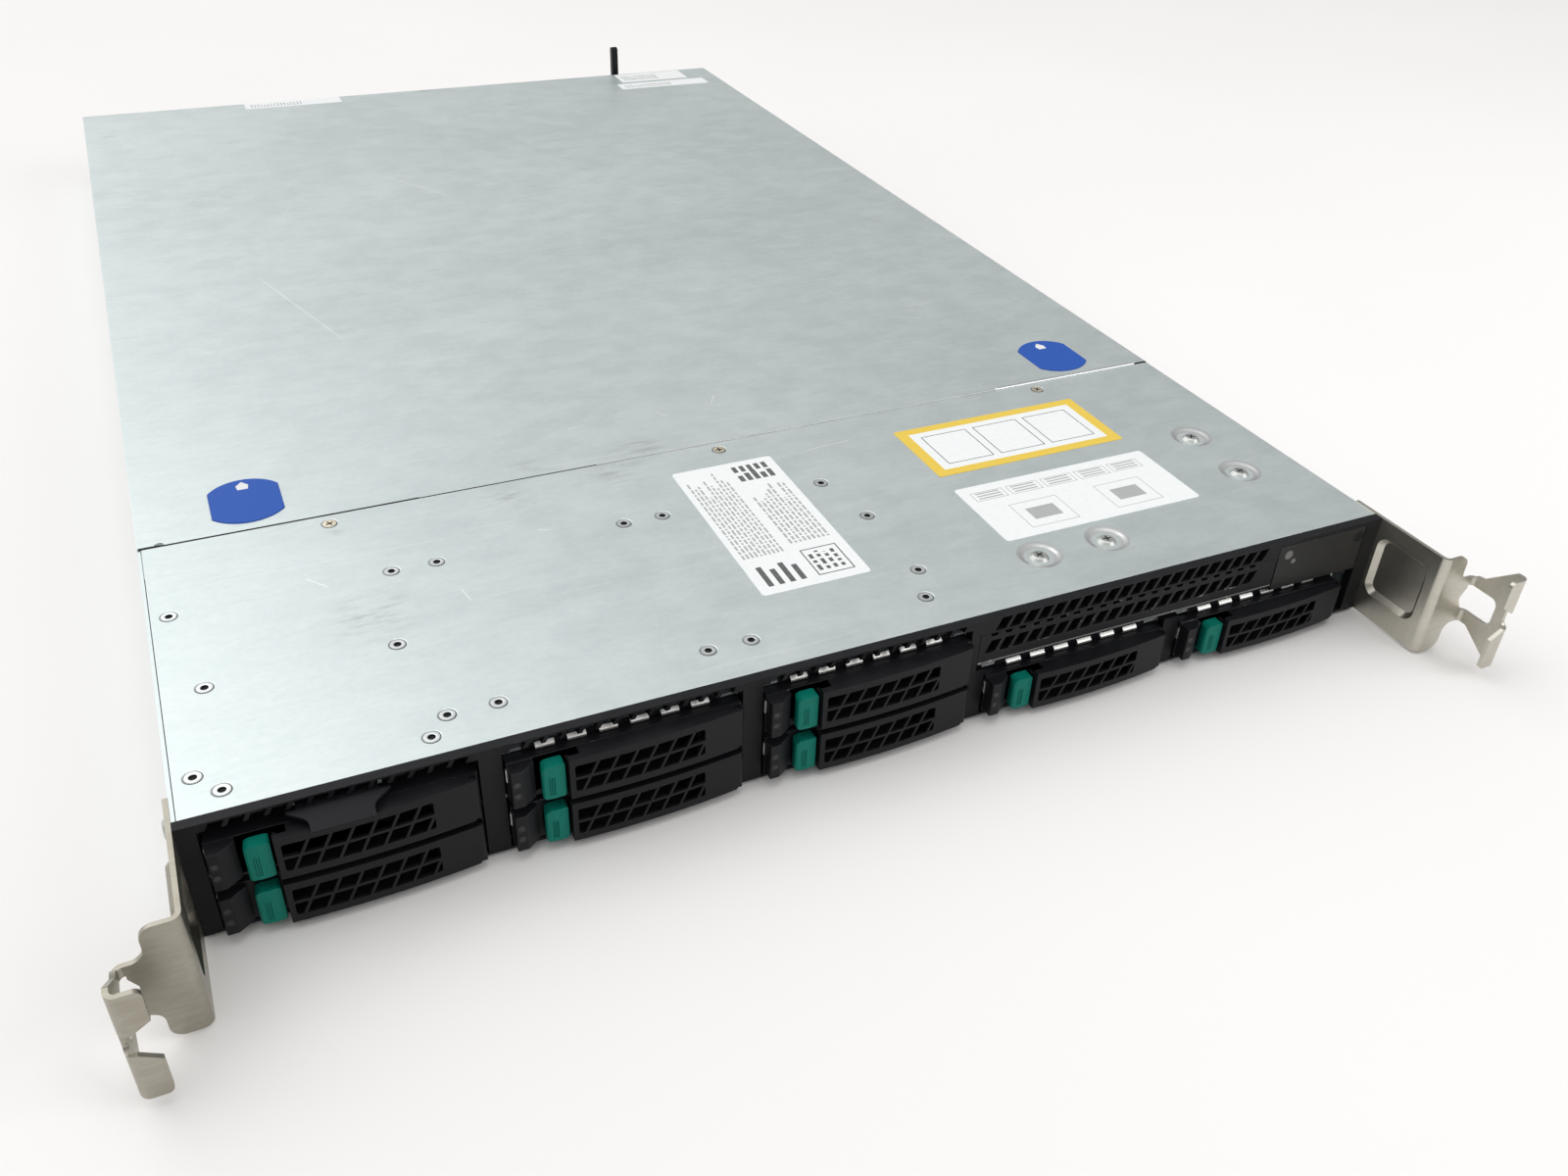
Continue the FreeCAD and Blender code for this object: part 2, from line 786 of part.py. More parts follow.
def asset_tag_tab():
    """Return the pull-out tag: a card that flares before the bezel and narrows to a drooping lip."""
    end, top = front + tag_length, tag_height + tag_sheet
    knee = front - bezel_thickness - tag_knee
    lip, lip_top = front - tag_lip_reach, tag_lip_height + tag_lip_sheet
    profile = [(end, tag_height), (end, top), (knee, top, tag_bend), (lip, lip_top, tag_lip_edge),
               (lip, tag_lip_height, tag_lip_edge), (lip + tag_lip_length, tag_lip_height, tag_lip_edge),
               (knee, tag_height, tag_bend)]
    shoulder = front - bezel_thickness - running_gap
    rim, narrow = shoulder - tag_flare_rim, front - tag_flare_reach
    half, flare, slim = tag_width / 2, tag_flare_width / 2, tag_lip_width / 2
    side = [(half, end), (half, shoulder), (flare, shoulder), (flare, rim), (slim, narrow, tag_scoop),
            (slim, lip - 1)]
    left_side = [(-corner[0],) + corner[1:] for corner in reversed(side)]
    plan = [(tag_centre_x + corner[0],) + corner[1:] for corner in side + left_side]
    sheet = prism_x(profile, tag_centre_x - flare - 1, tag_centre_x + flare + 1)
    return sheet.common(prism_z(plan, tag_lip_height - 1, top + 1))


def carrier_place(bay):
    """Return the left side, front plane and bottom of a bay's carrier."""
    x, row = bay
    return x - carrier_width / 2, front, lower_bay_bottom + bay_rise * row


def lever_pin(bay):
    """Return the (x, y) place of a carrier lever's pin."""
    left, y, _ = carrier_place(bay)
    return left + carrier_width - running_gap - lever_end_radius, y - lever_back - lever_end_radius


def drive_carrier(bay):
    """Return the carrier: front frame, light block, lever lug with its pin, and two side rails."""
    left, y, bottom = carrier_place(bay)
    right, top = left + carrier_width, bottom + carrier_height
    frame_front = y - lever_back + running_gap
    frame_back = frame_front + carrier_front_depth
    rail = (carrier_width - drive_width) / 2 - drive_fit
    rail_end = y + carrier_length
    pieces = [box(left, right, frame_front, frame_back, bottom, top)]
    for x0 in (left, right - rail):
        pieces.append(box(x0, x0 + rail, frame_back, rail_end, bottom, top))
    ledge_end, ledge_top = frame_back + drive_fit + drive_length, bottom + carrier_ledge
    for x0 in (left, right - 2 * rail):
        pieces.append(box(x0, x0 + 2 * rail, frame_back, ledge_end, bottom, ledge_top))
    face_left, face_right = left + light_face_inset, left + light_face_inset + light_face_width
    block_right = left + light_block_width
    face = y - light_block_reach
    block = [(face_left, frame_front), (face_left, face, light_block_edge),
             (face_right, face, light_block_edge), (block_right, face + light_block_slope),
             (block_right, frame_front)]
    pieces.append(prism_z(block, bottom + light_block_foot, top - light_block_head))
    pin_x, pin_y = lever_pin(bay)
    lug_bottom = bottom + lever_wall + running_gap
    lug_top = top - lever_wall - running_gap
    pieces.append(rod(lever_lug_radius, V(pin_x, pin_y, lug_bottom), V(pin_x, pin_y, lug_top)))
    lug_left, lug_right = pin_x - lever_pin_radius, pin_x + lever_pin_radius
    pieces.append(box(lug_left, lug_right, pin_y, frame_front, lug_bottom, lug_top))
    pin_bottom, pin_top = bottom + running_gap, top - running_gap
    pieces.append(rod(lever_pin_radius, V(pin_x, pin_y, pin_bottom), V(pin_x, pin_y, pin_top)))
    carrier = join(pieces)
    window_left = left + latch_from_left + latch_width + grille_left
    margin = (carrier_height - grille_height) / 2
    tools = [box(window_left, window_left + grille_width, frame_front - 1, frame_back + 1,
                 bottom + margin, top - margin)]
    stem_left, stem_right, stem_bottom, stem_top = latch_stem(bay)
    slot_left, slot_right = stem_left - latch_travel - running_gap, stem_right + running_gap
    slot_end = frame_front + latch_stem_length + running_gap
    tools.append(box(slot_left, slot_right, frame_front - 1, slot_end,
                     stem_bottom - running_gap, stem_top + running_gap))
    for height in light_window_heights:
        spot = V((face_left + face_right) / 2, face - 1, bottom + height)
        tools.append(rod(light_window_radius, spot, spot + V(0, 1 + light_window_depth, 0)))
    low, high = bottom + rail_slot_margin, top - rail_slot_margin
    for k in range(rail_slot_count):
        start = frame_back + rail_slot_first + rail_slot_pitch * k
        for x0 in (left, right - rail):
            tools.append(box(x0 - 1, x0 + rail + 1, start, start + rail_slot_length, low, high))
    return trim(carrier, tools)


def hard_drive(bay):
    """Return the drive: a cast body with a stepped lid and a connector at its rear."""
    left, y, bottom = carrier_place(bay)
    x0 = left + (carrier_width - drive_width) / 2
    x1, middle = x0 + drive_width, x0 + drive_width / 2
    y0 = y - lever_back + running_gap + carrier_front_depth + drive_fit
    y1 = y0 + drive_length
    z0 = bottom + carrier_ledge + drive_fit
    top = z0 + drive_height
    body = box(x0, x1, y0, y1, z0, top - drive_lid)
    plan = rounded(x0 + drive_lid_inset, x1 - drive_lid_inset, y0 + drive_lid_inset, y1 - drive_lid_rear,
                   drive_lid_corner)
    lid = prism_z(plan, top - drive_lid, top)
    socket = box(middle - connector_width / 2, middle + connector_width / 2, y1 - drive_socket_depth, y1 + 1,
                 z0 - 1, z0 + connector_height)
    return join([body, lid]).cut(socket)


def latch_stem(bay):
    """Return the left, right, bottom and top of a latch's sliding stem."""
    left, _, bottom = carrier_place(bay)
    middle = left + latch_from_left + latch_width / 2
    height = bottom + carrier_height / 2
    return (middle - latch_stem_width / 2, middle + latch_stem_width / 2,
            height - latch_stem_height / 2, height + latch_stem_height / 2)


def carrier_latch(bay):
    """Return the sliding latch: a bowed, grooved thumb face with rounded corners on a stem."""
    left, y, bottom = carrier_place(bay)
    x0 = left + latch_from_left
    x1 = x0 + latch_width
    z0, z1 = bottom + latch_foot, bottom + carrier_height - latch_head
    back = y - lever_back
    face = y - latch_reach
    left_y, right_y = face + latch_left_shoulder, face + latch_right_shoulder
    plan = [(x0 + latch_heel, back), (x0, back - latch_side), (x0, left_y, latch_edge),
            (x0 + latch_crest, face, latch_crest_radius), (x1, right_y, latch_right_shoulder), (x1, back)]
    shape = [(x0, z0, latch_edge), (x1, z0, latch_edge), (x1, z1, latch_edge), (x0, z1, latch_corner)]
    thumb = prism_z(plan, z0, z1).common(prism_y(shape, face - 1, back + 1))
    tools = []
    for k in range(latch_groove_count):
        x = x0 + latch_groove_first + latch_groove_pitch * k
        tools.append(box(x, x + latch_groove, face - 1, face + latch_groove_depth,
                         z0 + latch_groove_foot, z1 - latch_groove_head))
    thumb = trim(thumb, tools)
    stem_left, stem_right, stem_bottom, stem_top = latch_stem(bay)
    stem_end = back + running_gap + latch_stem_length
    return join([thumb, box(stem_left, stem_right, back, stem_end, stem_bottom, stem_top)])


def carrier_lever(bay):
    """Return the lever: a shallow bowed shell with two rows of leaning slots, hinged at its right end."""
    left, y, bottom = carrier_place(bay)
    top = bottom + carrier_height
    x0 = left + latch_from_left + latch_width + lever_gap
    pin_x, pin_y = lever_pin(bay)
    back = y - lever_back
    face = y - lever_reach
    middle_x = (x0 + pin_x) / 2
    tip = V(pin_x, pin_y - lever_end_radius, bottom)
    heel = V(pin_x, back, bottom)
    corner = V(x0, face, bottom)
    plan = [Part.LineSegment(V(x0, back, bottom), corner).toShape(),
            Part.Arc(corner, V(middle_x, (face + tip.y) / 2 - lever_bulge, bottom), tip).toShape(),
            Part.Arc(tip, V(pin_x + lever_end_radius, pin_y, bottom), heel).toShape(),
            Part.LineSegment(heel, V(x0, back, bottom)).toShape()]
    outer = Part.Face(Part.Wire(plan))
    body = outer.extrude(V(0, 0, carrier_height))
    low, high = bottom + lever_wall, top - lever_wall
    hollow = outer.extrude(V(0, 0, high - low))
    hollow.translate(V(0, lever_wall, lever_wall))
    hollow = hollow.common(box(x0 + lever_wall, pin_x, face, back + 1, low, high))
    room = lever_lug_radius + running_gap
    tools = [hollow, box(x0 + lever_wall, pin_x, pin_y, back + 1, low, high),
             rod(room, V(pin_x, pin_y, low), V(pin_x, pin_y, high)),
             box(pin_x - room, pin_x + lever_end_radius + 1, pin_y - running_gap, back + 1, low, high),
             rod(lever_pin_radius + running_gap, V(pin_x, pin_y, bottom - 1), V(pin_x, pin_y, top + 1))]
    right = pin_x + lever_end_radius
    corner_cut = [(right + 1, bottom - 1), (right + 1, bottom + lever_corner_cut),
                  (right - lever_corner_cut, bottom - 1)]
    tools.append(prism_y(corner_cut, face - 1, pin_y - lever_lug_radius))
    tools.append(box(x0 - 1, x0 + lever_notch, face + 2 * lever_wall, back + 1, high - 1, top + 1))
    margin = (carrier_height - grille_height) / 2
    tools += grille_slots(x0 + grille_left - lever_gap, bottom + margin, face - 1, pin_y)
    return trim(body, tools)


def grille_slots(left, bottom, y0, y1):
    """Return cutters for two rows of leaning slots inside one rectangle, split by slim bars."""
    right, top = left + grille_width, bottom + grille_height
    window = prism_y(rounded(left, right, bottom, top, grille_corner), y0, y1)
    middle = (bottom + top) / 2
    bars = [box(left - 1, right + 1, y0, y1, middle - grille_bar / 2, middle + grille_bar / 2)]
    count = int((grille_width - grille_first) / grille_pitch) + 1
    for k in range(count):
        x = left + grille_first + grille_pitch * k
        bars.append(prism_y(leaning_slot(x, bottom, grille_bar, grille_height, grille_lean), y0, y1))
    return trim(window, bars).Solids


def emboss(x0, x1, grow0, grow1):
    """Return a drafted block of the ear's embossing between two planes of X, grown by a margin at each."""
    wires = []
    for x, grow in ((x0, grow0), (x1, grow1)):
        near, far = front - emboss_back + grow, front - emboss_back - emboss_length - grow
        low, high = emboss_bottom - grow, emboss_bottom + emboss_height + grow
        corners = rounded(far, near, low, high, emboss_corner + grow)
        wires.append(outline(corners, lambda p, x=x: V(x, p.x, p.y)))
    return Part.makeLoft(wires, True, True)


def ear(side):
    """Return one front ear, bent from a single strip, embossed, pierced and trimmed in side view."""
    t = ear_sheet
    outer_x = half_width + t
    wing_x = half_width + ear_wing_out - t / 2
    flange_y = front - ear_flange_reach + t / 2
    tab_y = front - ear_wing_reach + t / 2
    tab_end = half_width + ear_wing_out - ear_tab_width
    path = [(half_width + t / 2, front + ear_back), (half_width + t / 2, flange_y), (wing_x, flange_y),
            (wing_x, tab_y), (tab_end, tab_y)]
    foot, top = ear_foot, ear_foot + ear_height
    body = prism_z(strip(path, t, ear_bend), foot, top)
    raised = emboss(outer_x, outer_x + emboss_depth, emboss_draft + t, t)
    sunk = emboss(half_width, half_width + emboss_depth, emboss_draft, 0.0)
    body = trim(join([body, raised]), [sunk])
    flange_x = half_width + ear_flange_width
    far = half_width + ear_wing_out + 1
    bend_y, back = flange_y - t, flange_y + t
    above = [(flange_x, ear_neck_top, ear_corner), (far, ear_neck_top), (far, top + 1),
             (flange_x, top + 1)]
    below = [(flange_x, ear_neck_bottom, ear_corner), (far, ear_neck_bottom), (far, foot - 1),
             (flange_x, foot - 1)]
    tools = [prism_y(above, bend_y, back), prism_y(below, bend_y, back),
             corner_waste(flange_x, top, ear_corner, 1, 1, bend_y, back),
             corner_waste(flange_x, foot, ear_corner, 1, -1, bend_y, back)]
    near = front - ear_wing_reach - 1
    wing_front = front - ear_wing_reach + ear_wing_front
    neck_y = bend_y - ear_neck_length
    wing_foot = foot + ear_wing_lift
    rise = [(back, ear_neck_top), (neck_y, ear_neck_top + ear_neck_rise),
            (wing_front, top - ear_wing_drop, ear_wing_corner), (near, top), (near, top + 1), (back, top + 1)]
    fall = [(back, ear_neck_bottom), (neck_y, ear_neck_bottom, ear_wing_corner), (wing_front, wing_foot),
            (near, wing_foot), (near, foot - 1), (back, foot - 1)]
    wing_near = wing_x - t / 2 - ear_bend
    tools += [prism_x(rise, wing_near, far), prism_x(fall, wing_near, far)]
    waist_low, waist_high = ear_waist_bottom, ear_waist_top
    tab_back = tab_y + t
    gap = [(tab_end, waist_low - ear_tab_taper), (wing_near, waist_low), (wing_near + 1, waist_low),
           (wing_near + 1, waist_high), (wing_near, waist_high), (tab_end, waist_high + ear_tab_taper)]
    tools += [prism_y(gap, near, tab_back), box(half_width, far, near, tab_back, foot - 1, wing_foot)]
    waist_end = tab_y + ear_waist_depth
    waist = rounded(near - 2 * ear_wing_corner, waist_end, waist_low, waist_high, ear_wing_corner)
    tools.append(prism_x(waist, wing_near, far))
    for z, up in ((top, 1), (wing_foot, -1)):
        tools.append(corner_waste(tab_end, z, ear_tab_corner, -1, up, near, tab_back))
    hole = rounded(front - ear_hole_reach, back + 2 * t, ear_hole_bottom, ear_hole_top, ear_hole_corner)
    tools.append(prism_x(hole, wing_near, far))
    middle = (ear_hole_bottom + ear_hole_top) / 2
    nose = [(wing_x - ear_hole_inset, middle, ear_hole_nose), (wing_x - t, ear_hole_bottom),
            (far, ear_hole_bottom), (far, ear_hole_top), (wing_x - t, ear_hole_top)]
    tools.append(prism_y(nose, bend_y, back))
    right = trim(body, tools)
    return right if side > 0 else right.mirror(V(0, 0, 0), V(1, 0, 0))


def drive_backplane():
    """Return the backplane with one plug per drive bay and its air slots."""
    y0 = front + backplane_from_front
    y1 = y0 + board_sheet
    pieces = [box(-cage_half, cage_half, y0, y1, tray_sheet, shelf_top + carrier_height)]
    tools = []
    half, half_slot = connector_width / 2 - running_gap, backplane_slot_width / 2
    for bay in bays:
        left, y, bottom = carrier_place(bay)
        middle = left + carrier_width / 2
        drive_rear = y - lever_back + running_gap + carrier_front_depth + drive_fit + drive_length
        low = bottom + carrier_ledge + drive_fit
        high = low + connector_height
        pieces.append(box(middle - half, middle + half, drive_rear + running_gap, y0,
                          low + connector_lift, high - running_gap))
        slot_low = high + backplane_slot_rise
        tools.append(box(middle - half_slot, middle + half_slot, y0 - 1, y1 + 1,
                         slot_low, slot_low + backplane_slot_height))
    return trim(join(pieces), tools)


def fan_housings():
    """Return the fan frames, each with struts that carry the rotor's pin."""
    frames = []
    half, arm = fan_size / 2, fan_strut / 2
    reach = fan_bore_radius + fan_strut_seat
    y0, y1, z = fan_y, fan_y + fan_length, tray_sheet + fan_size / 2
    rotor_y = y0 + fan_rotor_inset
    boss_y = rotor_y + fan_rotor_length + running_gap
    boss_end = boss_y + fan_strut
    for x in fan_x:
        frame = box(x - half, x + half, y0, y1, tray_sheet, tray_sheet + fan_size)
        frame = frame.cut(rod(fan_bore_radius, V(x, y0 - 1, z), V(x, y1 + 1, z)))
        boss = rod(fan_hub_radius, V(x, boss_y, z), V(x, boss_end, z))
        pin = rod(fan_pin_radius, V(x, rotor_y + fan_pin_inset, z), V(x, boss_end, z))
        struts = [box(x - reach, x + reach, boss_y, boss_end, z - arm, z + arm),
                  box(x - arm, x + arm, boss_y, boss_end, z - reach, z + reach)]
        frames.append(join([frame, boss, pin] + struts))
    return frames


def fan_rotor(x):
    """Return one fan rotor: a hub on its pin with pitched blades trimmed round."""
    start = V(x, fan_y + fan_rotor_inset, tray_sheet + fan_size / 2)
    end = start + V(0, fan_rotor_length, 0)
    tip = fan_bore_radius - fan_blade_gap
    middle = (start + end) * 0.5
    half, half_chord = fan_blade_sheet / 2, fan_blade_chord / 2
    root = fan_hub_radius - fan_blade_root
    blades = []
    for k in range(fan_blade_count):
        blade = box(-half, half, -half_chord, half_chord, root, tip + 1)
        blade.rotate(V(0, 0, 0), V(0, 0, 1), fan_blade_pitch)
        blade.rotate(V(0, 0, 0), V(0, 1, 0), 360.0 / fan_blade_count * k)
        blades.append(blade.translated(middle))
    wheel = join([rod(fan_hub_radius, start, end)] + blades).common(rod(tip, start, end))
    bore_start = start + V(0, fan_pin_inset - running_gap, 0)
    return wheel.cut(rod(fan_pin_radius + running_gap, bore_start, end + V(0, 1, 0)))


def board_layout():
    """Return the X places of the heatsinks and of the memory modules, with even gaps over the board."""
    widths = [memory_pitch * (count - 1) + memory_slot_width for count in memory_bank_counts]
    sinks = len(widths) - 1
    gap = (board_width - sum(widths) - sinks * sink_size) / (len(widths) + sinks + 1)
    x = board_x + gap
    sink_places, module_places = [], []
    for number, (count, width) in enumerate(zip(memory_bank_counts, widths)):
        module_places += [x + memory_slot_width / 2 + memory_pitch * k for k in range(count)]
        x += width + gap
        if number < sinks:
            sink_places.append(x + sink_size / 2)
            x += sink_size + gap
    return sink_places, module_places


def motherboard():
    """Return the main board on its standoffs, with processor sockets and memory slots."""
    x1, y1 = board_x + board_width, board_y + board_length
    pieces = [box(board_x, x1, board_y, y1, board_bottom, board_top)]
    for x in (board_x + standoff_inset, x1 - standoff_inset):
        for y in (board_y + standoff_inset, (board_y + y1) / 2, y1 - standoff_inset):
            pieces.append(rod(standoff_radius, V(x, y, tray_sheet), V(x, y, board_bottom)))
    sink_places, module_places = board_layout()
    half, half_length = socket_width / 2, socket_length / 2
    middle = board_y + sink_from_board + sink_depth / 2
    for x in sink_places:
        pieces.append(box(x - half, x + half, middle - half_length, middle + half_length,
                          board_top, board_top + socket_height))
    card_start = board_y + memory_from_board
    card_end = card_start + memory_length
    half, half_card = memory_slot_width / 2, memory_sheet / 2 + lid_gap
    slot_top = board_top + memory_slot_height
    for x in module_places:
        slot = box(x - half, x + half, card_start - memory_slot_end, card_end + memory_slot_end,
                   board_top, slot_top)
        groove = box(x - half_card, x + half_card, card_start - lid_gap, card_end + lid_gap,
                     board_top + memory_seat, slot_top + 1)
        pieces.append(slot.cut(groove))
    return join(pieces)


def heatsinks():
    """Return the two finned processor heatsinks."""
    sinks = []
    y0 = board_y + sink_from_board
    y1 = y0 + sink_depth
    base = board_top + socket_height
    half = sink_size / 2
    step = (sink_size - sink_fin) / (sink_fin_count - 1)
    for x in board_layout()[0]:
        pieces = [box(x - half, x + half, y0, y1, base, base + sink_base)]
        for n in range(sink_fin_count):
            left = x - half + step * n
            pieces.append(box(left, left + sink_fin, y0, y1, base + sink_base, base + sink_height))
        sinks.append(join(pieces))
    return sinks


def memory_modules():
    """Return the memory modules seated in their slots."""
    modules = []
    half = memory_sheet / 2
    y0 = board_y + memory_from_board
    y1 = y0 + memory_length
    bottom = board_top + memory_seat
    notch_y = y0 + memory_notch_from_end
    for x in board_layout()[1]:
        card = box(x - half, x + half, y0, y1, bottom, bottom + memory_height)
        notch = box(x - half - 1, x + half + 1, notch_y, notch_y + memory_notch_width,
                    bottom - 1, bottom + memory_notch_height)
        modules.append(card.cut(notch))
    return modules


def air_duct():
    """Return the duct between the fans and the board: a roof on two skirts and a middle rib."""
    x0, x1 = board_x, board_x + board_width
    y0 = board_y + duct_from_board
    y1 = y0 + duct_length
    pieces = [box(x0, x1, y0, y1, duct_top - duct_sheet, duct_top)]
    for x in (x0, (x0 + x1 - duct_sheet) / 2, x1 - duct_sheet):
        pieces.append(box(x, x + duct_sheet, y0, y1, board_top, duct_top))
    return join(pieces)


def supply_bays():
    """Return the (left, right) places of the fitted supply and the empty bay beside it."""
    left = supply_right_x - supply_width
    return [(left, supply_right_x), (left - supply_gap - supply_width, left - supply_gap)]


def supply_handle_place():
    """Return the pivot of the supply's handle."""
    left = supply_bays()[0][0]
    return V(left + supply_handle_from_left, rear + supply_handle_stand, supply_bottom + supply_handle_pivot)


def psu_module():
    """Return the power supply with its inlet and the lugs and pin of its handle."""
    left, right = supply_bays()[0]
    bottom, top = supply_bottom, supply_bottom + supply_height
    pivot = supply_handle_place()
    half = supply_handle_width / 2 + running_gap
    low, high = pivot.z - supply_lug_radius, pivot.z + supply_lug_radius
    pieces = [box(left, right, supply_y, rear, bottom, top)]
    for x0 in (pivot.x - half - supply_lug, pivot.x + half):
        x1 = x0 + supply_lug
        pieces.append(box(x0, x1, rear, pivot.y, low, high))
        pieces.append(rod(supply_lug_radius, V(x0, pivot.y, pivot.z), V(x1, pivot.y, pivot.z)))
    reach = V(half + supply_lug, 0, 0)
    pieces.append(rod(supply_pin_radius, pivot - reach, pivot + reach))
    module = join(pieces)
    middle, z = right - inlet_from_right, (bottom + top) / 2
    left, right = middle - inlet_width / 2, middle + inlet_width / 2
    low, high = z - inlet_height / 2, z + inlet_height / 2
    cut = inlet_chamfer
    mouth = [(left, low), (right, low), (right, high - cut), (right - cut, high), (left + cut, high),
             (left, high - cut)]
    floor = rear - inlet_depth
    module = module.cut(prism_y(mouth, floor, rear + 1))
    half, tall = inlet_pin_width / 2, inlet_pin_height / 2
    pins = [box(x - half, x + half, floor, rear - inlet_pin_inset, z - tall, z + tall)
            for x in (middle - inlet_pin_pitch, middle, middle + inlet_pin_pitch)]
    return join([module] + pins)


def psu_handle():
    """Return the supply's pull handle: a slim bar with a round top, standing up from a boss on its pin."""
    pivot = supply_handle_place()
    half, half_depth = supply_handle_width / 2, supply_handle_depth / 2
    y0, y1 = pivot.y - half_depth, pivot.y + half_depth
    top = pivot.z + supply_handle_length
    side = V(half, 0, 0)
    boss = rod(supply_handle_boss, pivot - side, pivot + side)
    shape = [(y0, pivot.z), (y1, pivot.z), (y1, top, supply_handle_corner), (y0, top, supply_handle_corner)]
    bar = prism_x(shape, pivot.x - half, pivot.x + half)
    reach = V(half + 1, 0, 0)
    return join([boss, bar]).cut(rod(supply_pin_radius + running_gap, pivot - reach, pivot + reach))


def psu_bay_blank():
    """Return the blank that closes the empty supply bay: a slotted face with two spring cheeks."""
    left, right = supply_bays()[1]
    bottom, top = supply_bottom, supply_bottom + supply_height
    y0 = rear - blank_depth
    pieces = [box(left, right, rear - blank_sheet, rear, bottom, top)]
    for x0 in (left, right - blank_sheet):
        pieces.append(box(x0, x0 + blank_sheet, y0, rear, bottom, top))
    pieces.append(box(left, right, y0, rear, bottom, bottom + blank_sheet))
    blank = join(pieces)
    tools = []
    count = int((supply_width - 2 * blank_slot_inset) / rear_vent_pitch)
    for row in range(blank_slot_rows):
        z = bottom + blank_slot_first + blank_slot_pitch * row
        for k in range(count):
            x = left + blank_slot_inset + rear_vent_pitch * k
            slot = leaning_slot(x, z, rear_vent_width, blank_slot_height, grille_lean)
            tools.append(prism_y(slot, rear - blank_sheet - 1, rear + 1))
    return trim(blank, tools)


def port_openings():
    """Return the (left, right, bottom, top) outlines of the rear ports."""
    row = network_count * (network_width + port_wall) + port_wall
    stack = usb_count * (usb_height + port_wall) + port_wall
    row_top = port_bottom + network_height + 2 * port_wall
    usb_right = usb_left_x + usb_width + 2 * port_wall
    return [(network_left_x, network_left_x + row, port_bottom, row_top),
            (usb_left_x, usb_right, port_bottom, port_bottom + stack),
            (video_x, video_x + video_width, port_bottom, port_bottom + video_height)]


def rear_io_ports():
    """Return the network, serial-bus and video sockets at the rear wall."""
    y0, y1 = rear - port_depth, rear + port_stand
    cell_y = y1 - network_depth
    network, usb, video = port_openings()
    row = box(network[0], network[1], y0, y1, network[2], network[3])
    cells = []
    for k in range(network_count):
        x = network[0] + port_wall + (network_width + port_wall) * k
        low, high = network[2] + port_wall, network[3] - port_wall
        cells.append(box(x, x + network_width, cell_y, y1 + 1, low, high))
    stack = box(usb[0], usb[1], y0, y1, usb[2], usb[3])
    holes = []
    for k in range(usb_count):
        z = usb[2] + port_wall + (usb_height + port_wall) * k
        holes.append(box(usb[0] + port_wall, usb[1] - port_wall, cell_y, y1 + 1, z, z + usb_height))
    shell = box(video[0], video[1], y0, rear, video[2], video[3])
    left, right = video[0] + video_plug_inset, video[1] - video_plug_inset
    low, high = video[2] + video_plug_margin, video[3] - video_plug_margin
    taper, corner = video_plug_taper, video_plug_corner
    plug = prism_y([(left + taper, low, corner), (right - taper, low, corner), (right, high, corner),
                    (left, high, corner)], rear, rear + video_plug_reach)
    foot_end = rear - tray_sheet - running_gap
    feet = [box(port[0] + port_wall, port[1] - port_wall, y0, foot_end, board_top, port_bottom)
            for port in (network, usb, video)]
    return [join([trim(row, cells), feet[0]]), join([trim(stack, holes), feet[1]]),
            join([shell, plug, feet[2]])]


def save(name, solids):
    """Write one node's solids to its file."""
    shape = solids if isinstance(solids, Part.Shape) else Part.makeCompound(solids)
    shape.exportStep(os.path.join("parts", name + ".step"))


def main():
    """Build every node and write it."""
    os.makedirs("parts", exist_ok=True)
    singles = (chassis_tray, front_cover, rear_cover, cover_touch_pads, case_screws, front_bezel,
               bay_filler_grille, control_panel, drive_cage, emi_spring_fingers, asset_tag_tab,
               drive_backplane, motherboard, heatsinks, memory_modules, air_duct, fan_housings,
               psu_module, psu_handle, psu_bay_blank, rear_io_ports)
    for make in singles:
        save(make.__name__, make())
    save("left_ear", ear(-1))
    save("right_ear", ear(1))
    for number, x in enumerate(fan_x, 1):
        save("fan_rotor_%d" % number, fan_rotor(x))
    for number, bay in enumerate(bays, 1):
        for make in (drive_carrier, hard_drive, carrier_lever, carrier_latch):
            save("%s_%d" % (make.__name__, number), make(bay))


main()
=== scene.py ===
"""Looks of a one-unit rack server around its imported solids.

Lengths are in metres in the frame of the solids, unless a docstring says millimetres: the origin is the
centre of the base, +X is the right side seen from the front, +Y runs to the rear and +Z is up, so the
front faces -Y.
"""
from __future__ import annotations

import json
import logging
import math
import random
from collections import defaultdict
from dataclasses import dataclass, field
from enum import Enum
from typing import Any

import bmesh
import bpy
from mathutils import Euler, Matrix, Vector

